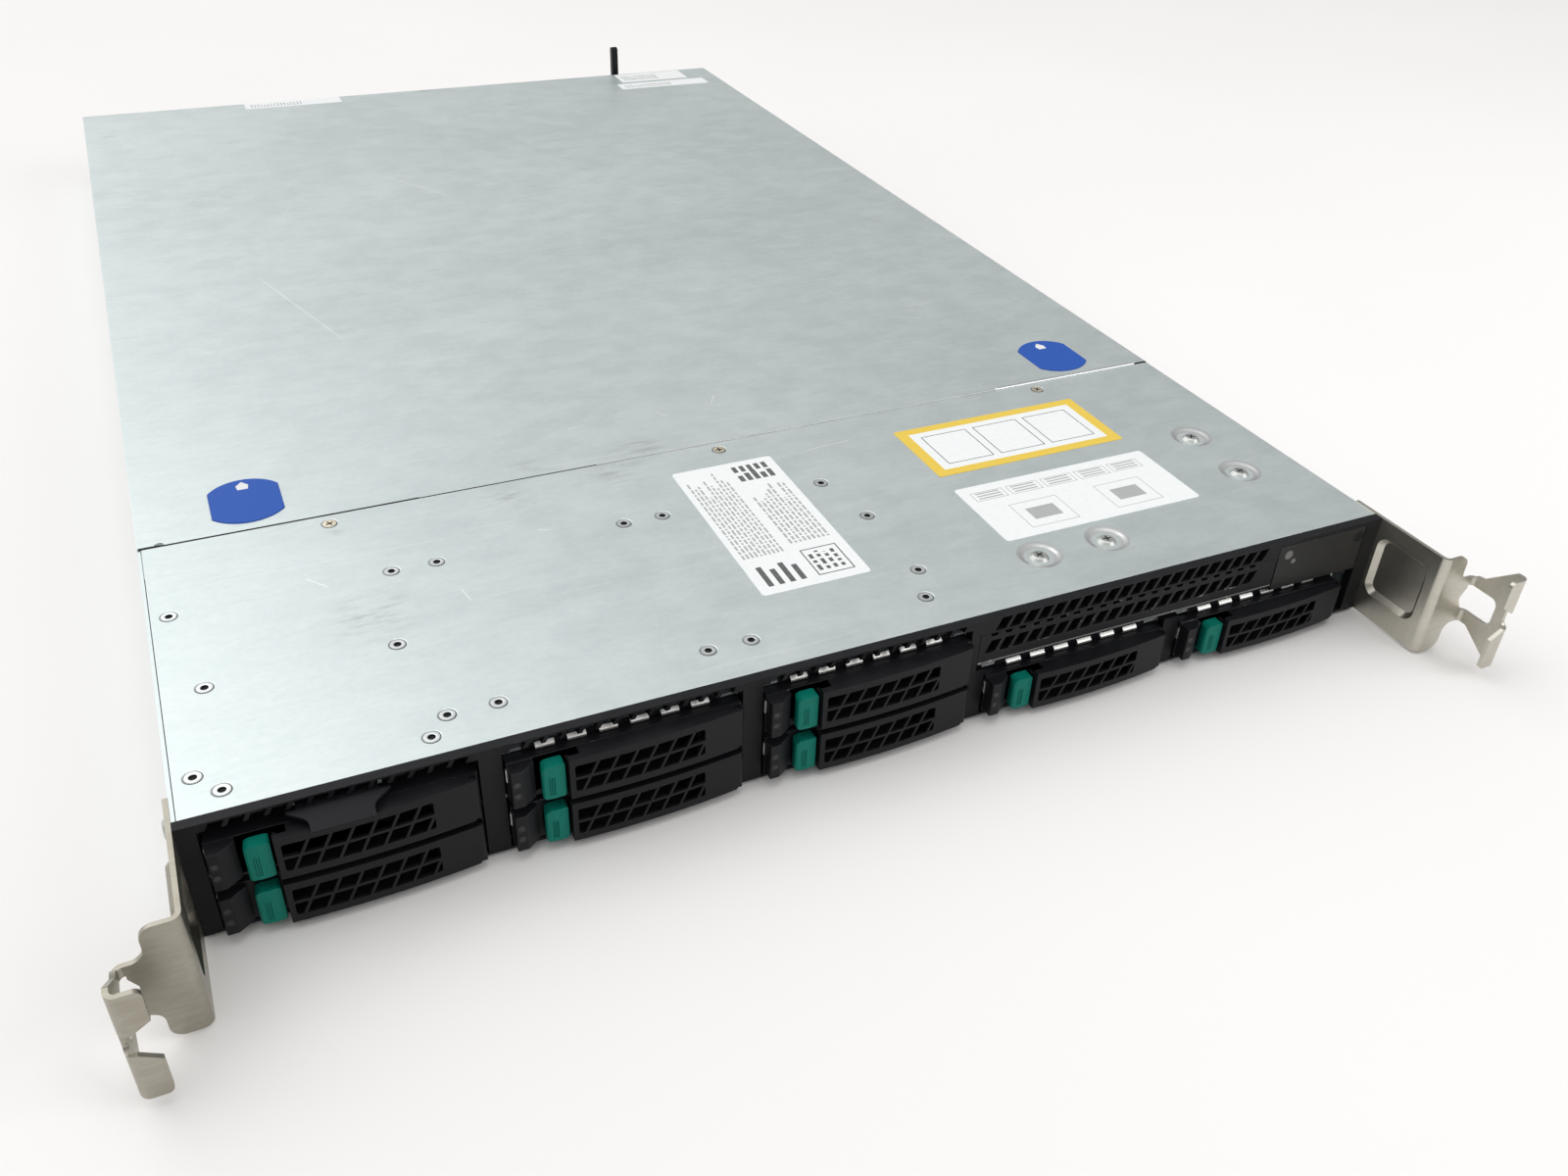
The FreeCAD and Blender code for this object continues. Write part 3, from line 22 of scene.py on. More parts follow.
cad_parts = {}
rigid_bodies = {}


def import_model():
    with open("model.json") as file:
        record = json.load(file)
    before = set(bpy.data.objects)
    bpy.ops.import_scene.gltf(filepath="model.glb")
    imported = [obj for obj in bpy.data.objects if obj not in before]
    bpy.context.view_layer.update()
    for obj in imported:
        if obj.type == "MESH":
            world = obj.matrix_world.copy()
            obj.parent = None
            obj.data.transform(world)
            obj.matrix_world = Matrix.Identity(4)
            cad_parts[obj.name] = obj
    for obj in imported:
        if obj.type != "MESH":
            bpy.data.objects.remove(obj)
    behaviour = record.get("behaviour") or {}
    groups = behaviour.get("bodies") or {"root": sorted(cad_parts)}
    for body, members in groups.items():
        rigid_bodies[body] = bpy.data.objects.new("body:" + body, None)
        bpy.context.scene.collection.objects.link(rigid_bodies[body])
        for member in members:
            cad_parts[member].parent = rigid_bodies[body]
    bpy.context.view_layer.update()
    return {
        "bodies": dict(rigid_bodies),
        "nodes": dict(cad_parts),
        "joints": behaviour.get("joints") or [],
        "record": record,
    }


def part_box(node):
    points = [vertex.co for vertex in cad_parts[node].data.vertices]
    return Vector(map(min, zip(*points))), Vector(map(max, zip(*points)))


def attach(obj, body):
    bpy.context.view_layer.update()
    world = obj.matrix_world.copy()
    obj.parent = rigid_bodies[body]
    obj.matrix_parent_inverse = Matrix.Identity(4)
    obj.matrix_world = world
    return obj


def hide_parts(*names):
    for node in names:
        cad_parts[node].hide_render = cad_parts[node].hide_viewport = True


LOG = logging.getLogger("rack_server")
MM = 0.001
FRONT = -351.5 * MM
REAR = 351.5 * MM
COVER_TOP = 43.2 * MM
BAY_COUNT = 8
FAN_COUNT = 5

# Dished screw seats of the front cover in millimetres: x, and y from its front edge
DISH_PLACES = ((79.3, 24.3), (109.2, 24.3), (191.2, 77.7), (191.2, 46.6))

Colour = tuple[float, float, float]
Place = tuple[float, float, float]
Point = tuple[float, float]
Box = tuple[float, float, float, float]


def grey(tone: float) -> Colour:
    """Return a grey of the given tone."""
    return tone, tone, tone


def on_cover(x: float, y: float) -> Point:
    """Return in metres the place of x and y from the front edge of the cover, both in millimetres."""
    return x * MM, FRONT + y * MM


class Socket:
    """One output of a node, with arithmetic that adds Math nodes to its tree."""

    def __init__(self, tree: "Tree", link: bpy.types.NodeSocket) -> None:
        """Keep the tree and the output that this stands for."""
        self.tree = tree
        self.link = link

    def math(self, operation: str, *others: Any) -> "Socket":
        """Apply a Math node.

        Args:
            operation: The Math node's operation.
            others: Its further inputs, numbers or sockets.

        Returns:
            The result.
        """
        inputs = dict(enumerate((self, *others)))
        return self.tree.node("ShaderNodeMath", {"operation": operation}, inputs)

    def __add__(self, other: Any) -> "Socket":
        """Return the sum."""
        return self.math("ADD", other)

    def __radd__(self, other: Any) -> "Socket":
        """Return the sum."""
        return self.math("ADD", other)

    def __sub__(self, other: Any) -> "Socket":
        """Return the difference."""
        return self.math("SUBTRACT", other)

    def __rsub__(self, other: float) -> "Socket":
        """Return a number less this value."""
        inputs = {0: other, 1: self}
        return self.tree.node("ShaderNodeMath", {"operation": "SUBTRACT"}, inputs)

    def __mul__(self, other: Any) -> "Socket":
        """Return the product."""
        return self.math("MULTIPLY", other)

    def __rmul__(self, other: Any) -> "Socket":
        """Return the product."""
        return self.math("MULTIPLY", other)

    def __pow__(self, other: float) -> "Socket":
        """Return a power."""
        return self.math("POWER", other)

    def __abs__(self) -> "Socket":
        """Return the size without its sign."""
        return self.math("ABSOLUTE")

    def most(self, other: Any) -> "Socket":
        """Return the larger of two values."""
        return self.math("MAXIMUM", other)

    def ramp(self, low: float, high: float) -> "Socket":
        """Return a smooth rise from 0 at low to 1 at high; high below low makes it fall."""
        inputs = {"Value": self, "From Min": low, "From Max": high}
        return self.tree.node("ShaderNodeMapRange", {"interpolation_type": "SMOOTHSTEP"}, inputs)


class Tree:
    """The node tree of one material or of the world."""

    # A Mix node numbers the sockets of all its data types together; these are its colours
    mix_inputs = (6, 7)
    mix_output = 2

    def __init__(self, owner: bpy.types.Material | bpy.types.World) -> None:
        """Start the owner's tree from nothing.

        Args:
            owner: The material or the world.
        """
        self.owner = owner
        owner.use_nodes = True
        self.tree = owner.node_tree
        self.tree.nodes.clear()

    def node(self, kind: str, settings: dict[str, Any] | None = None,
             inputs: dict[str | int, Any] | None = None, output: str | int = 0) -> Socket:
        """Add a node.

        Args:
            kind: The node's type.
            settings: Properties to set first.
            inputs: Values or sockets by input name or number.
            output: The output to return, by name or number.

        Returns:
            That output.
        """
        node = self.tree.nodes.new(kind)
        for key, value in (settings or {}).items():
            setattr(node, key, value)
        for key, value in (inputs or {}).items():
            if isinstance(value, Socket):
                self.tree.links.new(value.link, node.inputs[key])
            else:
                node.inputs[key].default_value = value
        return Socket(self, node.outputs[output])

    def place(self, scale: Place = (1, 1, 1), turn: float = 0.0, shift: Place = (0, 0, 0)) -> Socket:
        """Place a pattern by object coordinates.

        Args:
            scale: How much finer the pattern is along each axis.
            turn: Its turn about Z in radians.
            shift: How far it is moved.

        Returns:
            The coordinates.
        """
        source = self.node("ShaderNodeTexCoord", output="Object")
        inputs = {"Vector": source, "Location": shift, "Rotation": (0, 0, turn), "Scale": scale}
        return self.node("ShaderNodeMapping", {}, inputs)

    def axes(self, kind: str = "Object") -> tuple[Socket, Socket, Socket]:
        """Split coordinates.

        Args:
            kind: Which coordinates.

        Returns:
            Their X, Y and Z.
        """
        source = self.node("ShaderNodeTexCoord", output=kind)
        split = [self.node("ShaderNodeSeparateXYZ", {}, {0: source}, i) for i in range(3)]
        return split[0], split[1], split[2]

    def noise(self, where: Socket, scale: float = 1.0, detail: float = 3.0, rough: float = 0.5) -> Socket:
        """Return noise about 0.5."""
        inputs = {"Vector": where, "Scale": scale, "Detail": detail, "Roughness": rough}
        return self.node("ShaderNodeTexNoise", {}, inputs)

    def mix(self, share: Any, first: Any, second: Any) -> Socket:
        """Mix two colours.

        Args:
            share: How much of the second, a number or a socket.
            first: A colour or a socket.
            second: A colour or a socket.

        Returns:
            The mixed colour.
        """
        inputs = {0: share}
        for slot, colour in zip(self.mix_inputs, (first, second)):
            inputs[slot] = colour if isinstance(colour, Socket) else (*colour, 1.0)
        return self.node("ShaderNodeMix", {"data_type": "RGBA"}, inputs, self.mix_output)

    def bump(self, height: Socket, strength: float, distance: float) -> Socket:
        """Return a normal bent by a height."""
        inputs = {"Height": height, "Strength": strength, "Distance": distance}
        return self.node("ShaderNodeBump", {}, inputs)

    def done(self, **inputs: Any) -> bpy.types.Material:
        """Join the surface shader.

        Args:
            inputs: Values or sockets by input name, with _ for a space.

        Returns:
            The finished material.
        """
        named = {key.replace("_", " "): value for key, value in inputs.items()}
        shader = self.node("ShaderNodeBsdfPrincipled", {}, named)
        self.close(shader, "ShaderNodeOutputMaterial")
        return self.owner

    def close(self, shader: Socket, kind: str) -> None:
        """Join a shader to an output node of the given kind."""
        out = self.tree.nodes.new(kind)
        self.tree.links.new(shader.link, out.inputs["Surface"])


@dataclass(frozen=True)
class Mottle:
    """A layer of noise: its stretch, where its tone rises, and its shares of tone and roughness."""

    stretch: Place
    span: Point
    tone: float = 1.0
    rough: float = 0.0
    detail: float = 4.0
    grit: float = 0.6

    def noise(self, tree: Tree) -> Socket:
        """Return the noise itself, about 0.5."""
        return tree.noise(tree.place(self.stretch), detail=self.detail, rough=self.grit)

    def tint(self, noise: Socket) -> Socket:
        """Return how much the layer's noise tints each place."""
        return noise.ramp(*self.span) * self.tone

    def uneven(self, noise: Socket) -> Socket:
        """Return what the layer's noise adds to the roughness."""
        return (noise - 0.5) * self.rough

    def mask(self, tree: Tree) -> Socket:
        """Return how much the layer tints each place, from noise of its own."""
        return self.tint(self.noise(tree))


@dataclass(frozen=True)
class GalvanisedSheet:
    """Zinc-coated sheet with a grain across the width, clouds, spangle and wear.

    Scratches go from (x, y) to (x, y), and stains have x, y and a radius, all in millimetres.
    """

    name: str
    tint: Colour = (0.63, 0.70, 0.70)
    pale: Colour = (0.755, 0.82, 0.815)
    grime: Colour = (0.36, 0.37, 0.36)
    bright: Colour = (0.93, 0.95, 0.95)
    roughness: float = 0.44
    metallic: float = 0.85
    grain_strength: float = 0.12
    grain_depth: float = 0.05 * MM
    worn: bool = True
    scratches: tuple[Box, ...] = ()
    stains: tuple[Place, ...] = ()
    grain: Mottle = Mottle((45, 1500, 45), (0.25, 0.75), 0.22, 0.16, grit=0.65)
    streak: Mottle = Mottle((50, 300, 50), (0.32, 0.68), 0.14)
    fleck: Mottle = Mottle((280, 430, 280), (0.36, 0.64), 0.20, detail=3.0, grit=0.7)
    clouds: Mottle = Mottle((6, 9, 6), (0.3, 0.7), 0.20, 0.10)
    spangle: Mottle = Mottle((55, 80, 55), (0.34, 0.66), 0.24, 0.14, grit=0.65)
    smear: Mottle = Mottle((18, 70, 18), (0.56, 0.80), 0.14, detail=5.0, grit=0.7)
    ragged: Mottle = Mottle((70, 260, 70), (0.42, 0.68), 0.45, grit=0.7)
    stain_reach: float = 1.5
    hair_stretch: Place = (9, 620, 9)
    hair_turns: Point = (0.5, -0.9)
    hair_shifts: tuple[Place, Place] = ((0, 0, 0), (3, 1, 0))
    hair_edges: Point = (0.73, 0.75)
    hair_fade: float = 0.05
    hair_tone: float = 0.24
    scratch_width: float = 0.45 * MM
    scratch_core: float = 0.3
    scratch_taper: float = 0.2
    scratch_tone: float = 0.7

    def hairlines(self, tree: Tree, turn: float, shift: Place, edge: float) -> Socket:
        """Return a mask of short thin streaks along one direction."""
        lines = tree.noise(tree.place(self.hair_stretch, turn, shift), detail=1.0)
        return lines.ramp(edge, edge + self.hair_fade)

    def scratch(self, tree: Tree, line: Box) -> Socket:
        """Draw one scratch that thins out at its ends.

        Args:
            tree: The material's tree.
            line: Its first x and y and its last x and y, in millimetres.

        Returns:
            Its mask.
        """
        x0, y0, x1, y1 = (v * MM for v in line)
        length = math.hypot(x1 - x0, y1 - y0)
        ux, uy = (x1 - x0) / length, (y1 - y0) / length
        x, y, _ = tree.axes()
        along = (x - x0) * ux + (y - y0) * uy
        across = abs((y - y0) * ux - (x - x0) * uy)
        taper = self.scratch_taper * length
        ends = along.ramp(0.0, taper) * along.ramp(length, length - taper)
        return across.ramp(self.scratch_width, self.scratch_core * self.scratch_width) * ends

    def stain(self, tree: Tree, x: float, y: float, radius: float) -> Socket:
        """Draw one stain that fades out from its middle.

        Args:
            tree: The material's tree.
            x: X of its middle in millimetres.
            y: Y of its middle in millimetres.
            radius: Its radius in millimetres.

        Returns:
            Its ragged mask.
        """
        along, across, _ = tree.axes()
        dx, dy = along - x * MM, across - y * MM
        gap = (dx * dx + dy * dy) ** 0.5
        return gap.ramp(self.stain_reach * radius * MM, 0.0) * self.ragged.mask(tree)

    def marks(self, tree: Tree, colour: Socket) -> Socket:
        """Lay smears, hairlines, scratches and stains over a colour.

        Args:
            tree: The material's tree.
            colour: The clean sheet's colour.

        Returns:
            The worn colour.
        """
        colour = tree.mix(self.smear.mask(tree), colour, self.grime)
        runs = zip(self.hair_turns, self.hair_shifts, self.hair_edges)
        rising, falling = (self.hairlines(tree, *run) for run in runs)
        colour = tree.mix(rising.most(falling) * self.hair_tone, colour, self.bright)
        for line in self.scratches:
            colour = tree.mix(self.scratch(tree, line) * self.scratch_tone, colour, self.bright)
        for place in self.stains:
            colour = tree.mix(self.stain(tree, *place), colour, self.grime)
        return colour

    def build(self) -> bpy.types.Material:
        """Make the material, with the grain also bending its normal.

        Returns:
            The material.
        """
        tree = Tree(bpy.data.materials.new(self.name))
        grain = self.grain.noise(tree)
        layers = [(self.grain, grain)]
        layers += [(m, m.noise(tree)) for m in (self.streak, self.fleck, self.clouds, self.spangle)]
        tone = sum(layer.tint(noise) for layer, noise in layers)
        uneven = sum(layer.uneven(noise) for layer, noise in layers if layer.rough)
        colour = tree.mix(tone, self.tint, self.pale)
        if self.worn:
            colour = self.marks(tree, colour)
        normal = tree.bump(grain, self.grain_strength, self.grain_depth)
        return tree.done(Base_Color=colour, Roughness=self.roughness + uneven, Metallic=self.metallic,
                         Normal=normal)


@dataclass(frozen=True)
class MouldedPlastic:
    """Moulded plastic with a fine stipple, dust on what faces up, and chips or ribs where it says so."""

    name: str
    colour: Colour
    dusty: Colour
    roughness: float = 0.42
    dust: float = 0.5
    specular: float = 0.3
    stipple: float = 0.22
    chips: float = 0.0
    bare: Colour = (0.34, 0.34, 0.33)
    rib: float = 0.0
    stipple_scale: float = 2600.0
    stipple_depth: float = 0.06 * MM
    clouds: Mottle = Mottle((70, 70, 70), (0.35, 0.75), 0.5, 0.18)
    specks: Mottle = Mottle((900, 900, 900), (0.66, 0.76), 0.5, detail=2.0, grit=0.5)
    chipping: Mottle = Mottle((260, 260, 260), (0.58, 0.68), grit=0.75)
    upward_span: Point = (0.3, 1.0)
    side_dust: float = 0.2
    dust_rough: float = 0.12
    rib_stipple: float = 0.3
    rib_height: float = 1.5

    def build(self) -> bpy.types.Material:
        """Make the material.

        Returns:
            The material.
        """
        tree = Tree(bpy.data.materials.new(self.name))
        height = tree.noise(tree.place(), self.stipple_scale, 2.0)
        cloud = self.clouds.noise(tree)
        facing = tree.node("ShaderNodeNewGeometry", output="Normal")
        upward = tree.node("ShaderNodeSeparateXYZ", {}, {0: facing}, 2).ramp(*self.upward_span)
        settled = upward * (1 - self.side_dust) + self.side_dust
        veil = (self.clouds.tint(cloud) + self.specks.mask(tree)) * settled * self.dust
        colour = tree.mix(veil, self.colour, self.dusty)
        rough = self.roughness + self.clouds.uneven(cloud) + veil * self.dust_rough
        if self.chips:
            colour = tree.mix(self.chipping.mask(tree) * self.chips, colour, self.bare)
        if self.rib:
            x, _, _ = tree.axes()
            ribs = (x * (2 * math.pi / self.rib)).math("SINE")
            height = height * self.rib_stipple + ribs * self.rib_height
        normal = tree.bump(height, self.stipple, self.stipple_depth)
        return tree.done(Base_Color=colour, Roughness=rough, Normal=normal,
                         Specular_IOR_Level=self.specular)


@dataclass(frozen=True)
class PlatedSteel:
    """Bare plated metal with cloudy tone and fine rub marks."""

    name: str
    colour: Colour
    shade: Colour
    roughness: float = 0.32
    rub: float = 1.0
    rub_strength: float = 0.08
    rub_depth: float = 0.04 * MM
    clouds: Mottle = Mottle((60, 60, 60), (0.3, 0.72), 0.6, 0.16, detail=5.0)
    rubs: Mottle = Mottle((90, 900, 700), (0.3, 0.75), 0.4, 0.14, detail=3.0)

    def build(self) -> bpy.types.Material:
        """Make the material.

        Returns:
            The material.
        """
        tree = Tree(bpy.data.materials.new(self.name))
        cloud, marks = self.clouds.noise(tree), self.rubs.noise(tree)
        colour = tree.mix(self.clouds.tint(cloud) + self.rubs.tint(marks), self.shade, self.colour)
        rough = self.roughness + self.clouds.uneven(cloud) + self.rubs.uneven(marks) * self.rub
        normal = tree.bump(marks, self.rub_strength * self.rub, self.rub_depth)
        return tree.done(Base_Color=colour, Roughness=rough, Metallic=1.0, Normal=normal)


@dataclass(frozen=True)
class StickerPaper:
    """Coated paper of one ink, with a slight mottle and rubbed places."""

    name: str
    colour: Colour
    rubbed: Colour
    roughness: float = 0.45
    fibre: Mottle = Mottle((420, 420, 420), (0.3, 0.8), 0.4, 0.2)
    fibre_strength: float = 0.08
    fibre_depth: float = 0.03 * MM
    wear: Mottle = Mottle((220, 300, 220), (0.62, 0.78), 0.3, grit=0.7)

    def build(self) -> bpy.types.Material:
        """Make the material.

        Returns:
            The material.
        """
        tree = Tree(bpy.data.materials.new(self.name))
        fibre = self.fibre.noise(tree)
        colour = tree.mix(self.fibre.tint(fibre) + self.wear.mask(tree), self.colour, self.rubbed)
        rough = self.roughness + self.fibre.uneven(fibre)
        normal = tree.bump(fibre, self.fibre_strength, self.fibre_depth)
        return tree.done(Base_Color=colour, Roughness=rough, Normal=normal)


@dataclass(frozen=True)
class CircuitBoard:
    """Lacquered board with faint traces and darker fields."""

    name: str
    lacquer: Colour
    trace: Colour
    roughness: float = 0.35
    coat: float = 0.3
    trace_scale: float = 160.0
    trace_span: Point = (0.05, 0.02)
    trace_tone: float = 0.35
    trace_rough: float = 0.1
    dark_fields: Mottle = Mottle((25, 25, 25), (0.35, 0.65), detail=3.0, grit=0.5)
    field_shade: float = 0.55

    def build(self) -> bpy.types.Material:
        """Make the material.

        Returns:
            The material.
        """
        tree = Tree(bpy.data.materials.new(self.name))
        settings = {"feature": "DISTANCE_TO_EDGE", "distance": "EUCLIDEAN"}
        inputs = {"Vector": tree.place(), "Scale": self.trace_scale}
        runs = tree.node("ShaderNodeTexVoronoi", settings, inputs).ramp(*self.trace_span)
        dark = tuple(self.field_shade * v for v in self.lacquer)
        board = tree.mix(self.dark_fields.mask(tree), self.lacquer, dark)
        colour = tree.mix(runs * self.trace_tone, board, self.trace)
        rough = self.roughness + runs * self.trace_rough
        return tree.done(Base_Color=colour, Roughness=rough, Coat_Weight=self.coat)


class Finish(Enum):
    """The finishes of the server."""

    FRONT_SHEET = GalvanisedSheet(
        "front_cover_sheet",
        scratches=((-168, -245, -160.6, -254), (31.8, -225.7, 57.5, -224), (-85, -243.8, -81, -246),
                   (-120, -270, -118, -280)),
        stains=((-154, -219.5, 4.0), (-45, -212, 14.0), (-90, -217, 10.0), (-150, -275, 16.0)))
    REAR_SHEET = GalvanisedSheet(
        "rear_cover_sheet",
        scratches=((-62.5, 175.5, -26.2, 116.9), (-13, -171.9, -9, -178), (12, -173.6, 17, -166),
                   (-52.6, -174.5, -46, -172.5), (-150, 40, -120, -60)),
        stains=((-206, 300.7, 5.0), (2.2, 349, 6.0), (51, 296.8, 6.0), (-30, -199, 12.0),
                (-75, -203, 10.0)))
    CASE_SHEET = GalvanisedSheet("case_sheet", worn=False)
    # Rounded sheet edges: bare cut metal, made brighter still as a painted highlight along the edges.
    SHEET_EDGE = PlatedSteel("sheared_edge_and_painted_highlight", (0.88, 0.90, 0.90), (0.72, 0.74, 0.74), 0.30)
    BLACK = MouldedPlastic(
        "black_moulding", (0.0074, 0.0077, 0.0095), (0.034, 0.035, 0.039), 0.44, 0.3, 0.2)
    PANEL = MouldedPlastic("panel_moulding", (0.014, 0.014, 0.0135), grey(0.05), 0.42, 0.4)
    # Rounded edges of the black mouldings: lighter than the moulding as a painted highlight, with real
    # chips.
    BLACK_EDGE = MouldedPlastic(
        "black_edge_highlight_and_chips", (0.015, 0.0155, 0.018), (0.066, 0.067, 0.072), 0.36, 0.4, chips=0.55)
    WORN_EDGE = MouldedPlastic(
        "worn_moulding_edge", grey(0.03), grey(0.1), 0.4, 0.5, chips=0.9, bare=(0.6, 0.6, 0.58))
    BARE_EDGE = MouldedPlastic(
        "bare_moulding_edge", (0.16, 0.16, 0.155), grey(0.2), 0.4, 0.5, chips=0.9, bare=(0.62, 0.62, 0.6))
    FAN_BLACK = MouldedPlastic("fan_moulding", (0.018, 0.018, 0.02), grey(0.07), 0.48, 0.3)
    GREEN = MouldedPlastic(
        "green_moulding", (0.002, 0.175, 0.13), (0.015, 0.20, 0.155), 0.42, 0.2, 0.16, 0.35, rib=0.7 * MM)
    BLUE = MouldedPlastic(
        "blue_moulding", (0.013, 0.088, 0.43), (0.035, 0.12, 0.45), 0.42, 0.25, 0.25, 0.1)
    ARROW = MouldedPlastic("arrow_print", (0.80, 0.82, 0.82), grey(0.6), 0.5, 0.3)
    WINDOW = MouldedPlastic("window_frame", (0.03, 0.03, 0.031), grey(0.08), 0.38, 0.3)
    LENS = MouldedPlastic("lamp_lens", (0.012, 0.014, 0.013), grey(0.03), 0.18, 0.2, 0.5, 0.02)
    GREY_LENS = MouldedPlastic("grey_lens", (0.17, 0.17, 0.155), (0.26, 0.26, 0.24), 0.35, 0.7)
    EAR = PlatedSteel("ear_plating", (0.64, 0.62, 0.55), (0.52, 0.50, 0.435), 0.36, 0.0)
    # The left ear: the right ear's plating, darkened as painted shade.
    SHADED_EAR = PlatedSteel("ear_plating_painted_shade", (0.43, 0.41, 0.35), (0.33, 0.31, 0.255), 0.36, 0.0)
    SCREW = PlatedSteel("screw_plating", (0.80, 0.83, 0.83), (0.66, 0.69, 0.69), 0.34)
    PAN = PlatedSteel("pan_screw_plating", (0.64, 0.66, 0.64), (0.50, 0.52, 0.50), 0.42, 0.5)
    BRASS = PlatedSteel("seam_screw_plating", (0.93, 0.85, 0.69), (0.80, 0.70, 0.52), 0.36)
    SPRING = PlatedSteel("spring_plating", (0.99, 0.98, 0.95), (0.95, 0.94, 0.91), 0.42, 0.3)
    # Dark grey ring round each flat head: a painted shadow outline.
    RIM_SHADOW = PlatedSteel("screw_rim_painted_shadow", (0.36, 0.37, 0.37), (0.24, 0.25, 0.25), 0.45)
    # Bright finish of the dished seats' walls and of the seam's rolled edge: a painted highlight.
    SEAT_HIGHLIGHT = PlatedSteel("seat_painted_highlight", (0.92, 0.94, 0.94), (0.82, 0.84, 0.84), 0.26, 0.4)
    SUPPLY = PlatedSteel("supply_plating", (0.68, 0.70, 0.71), (0.55, 0.57, 0.58), 0.38)
    CASTING = PlatedSteel("drive_casting", (0.40, 0.41, 0.42), (0.31, 0.32, 0.33), 0.45)
    SINK = PlatedSteel("sink_aluminium", (0.78, 0.79, 0.80), (0.66, 0.67, 0.68), 0.35)
    SOCKET = PlatedSteel("port_plating", (0.72, 0.72, 0.71), (0.58, 0.58, 0.57), 0.33)
    CHIP = MouldedPlastic("chip_moulding", (0.02, 0.02, 0.021), grey(0.06), 0.5, 0.2)
    BOARD = CircuitBoard("main_board_lacquer", (0.012, 0.085, 0.035), (0.25, 0.22, 0.08))
    MEMORY = CircuitBoard("memory_lacquer", (0.012, 0.07, 0.03), (0.30, 0.26, 0.10))
    PAPER = StickerPaper("white_sticker", (0.90, 0.92, 0.92), (0.80, 0.82, 0.82))
    YELLOW = StickerPaper("yellow_border", (0.83, 0.58, 0.06), (0.80, 0.62, 0.16))
    INK = StickerPaper("dark_print", (0.10, 0.10, 0.105), grey(0.22))
    PALE_INK = StickerPaper("pale_print", (0.42, 0.43, 0.43), (0.55, 0.56, 0.56))
    # Near-black: painted shade in screw sockets, cross recesses, the seam gap and the fan opening, and the
    # real colour of the ports' inserts.
    SHADE_AND_INSERTS = MouldedPlastic("painted_shade_and_dark_inserts", (0.012, 0.012, 0.013), grey(0.03), 0.6, 0.2, 0.2)


class Materials:
    """The materials made so far, one for each finish."""

    made: dict[Finish, bpy.types.Material] = {}

    @classmethod
    def of(cls, finish: Finish) -> bpy.types.Material:
        """Find a finish's material, which is made at its first use.

        Args:
            finish: The finish.

        Returns:
            Its material.
        """
        if finish not in cls.made:
            cls.made[finish] = finish.value.build()
        return cls.made[finish]


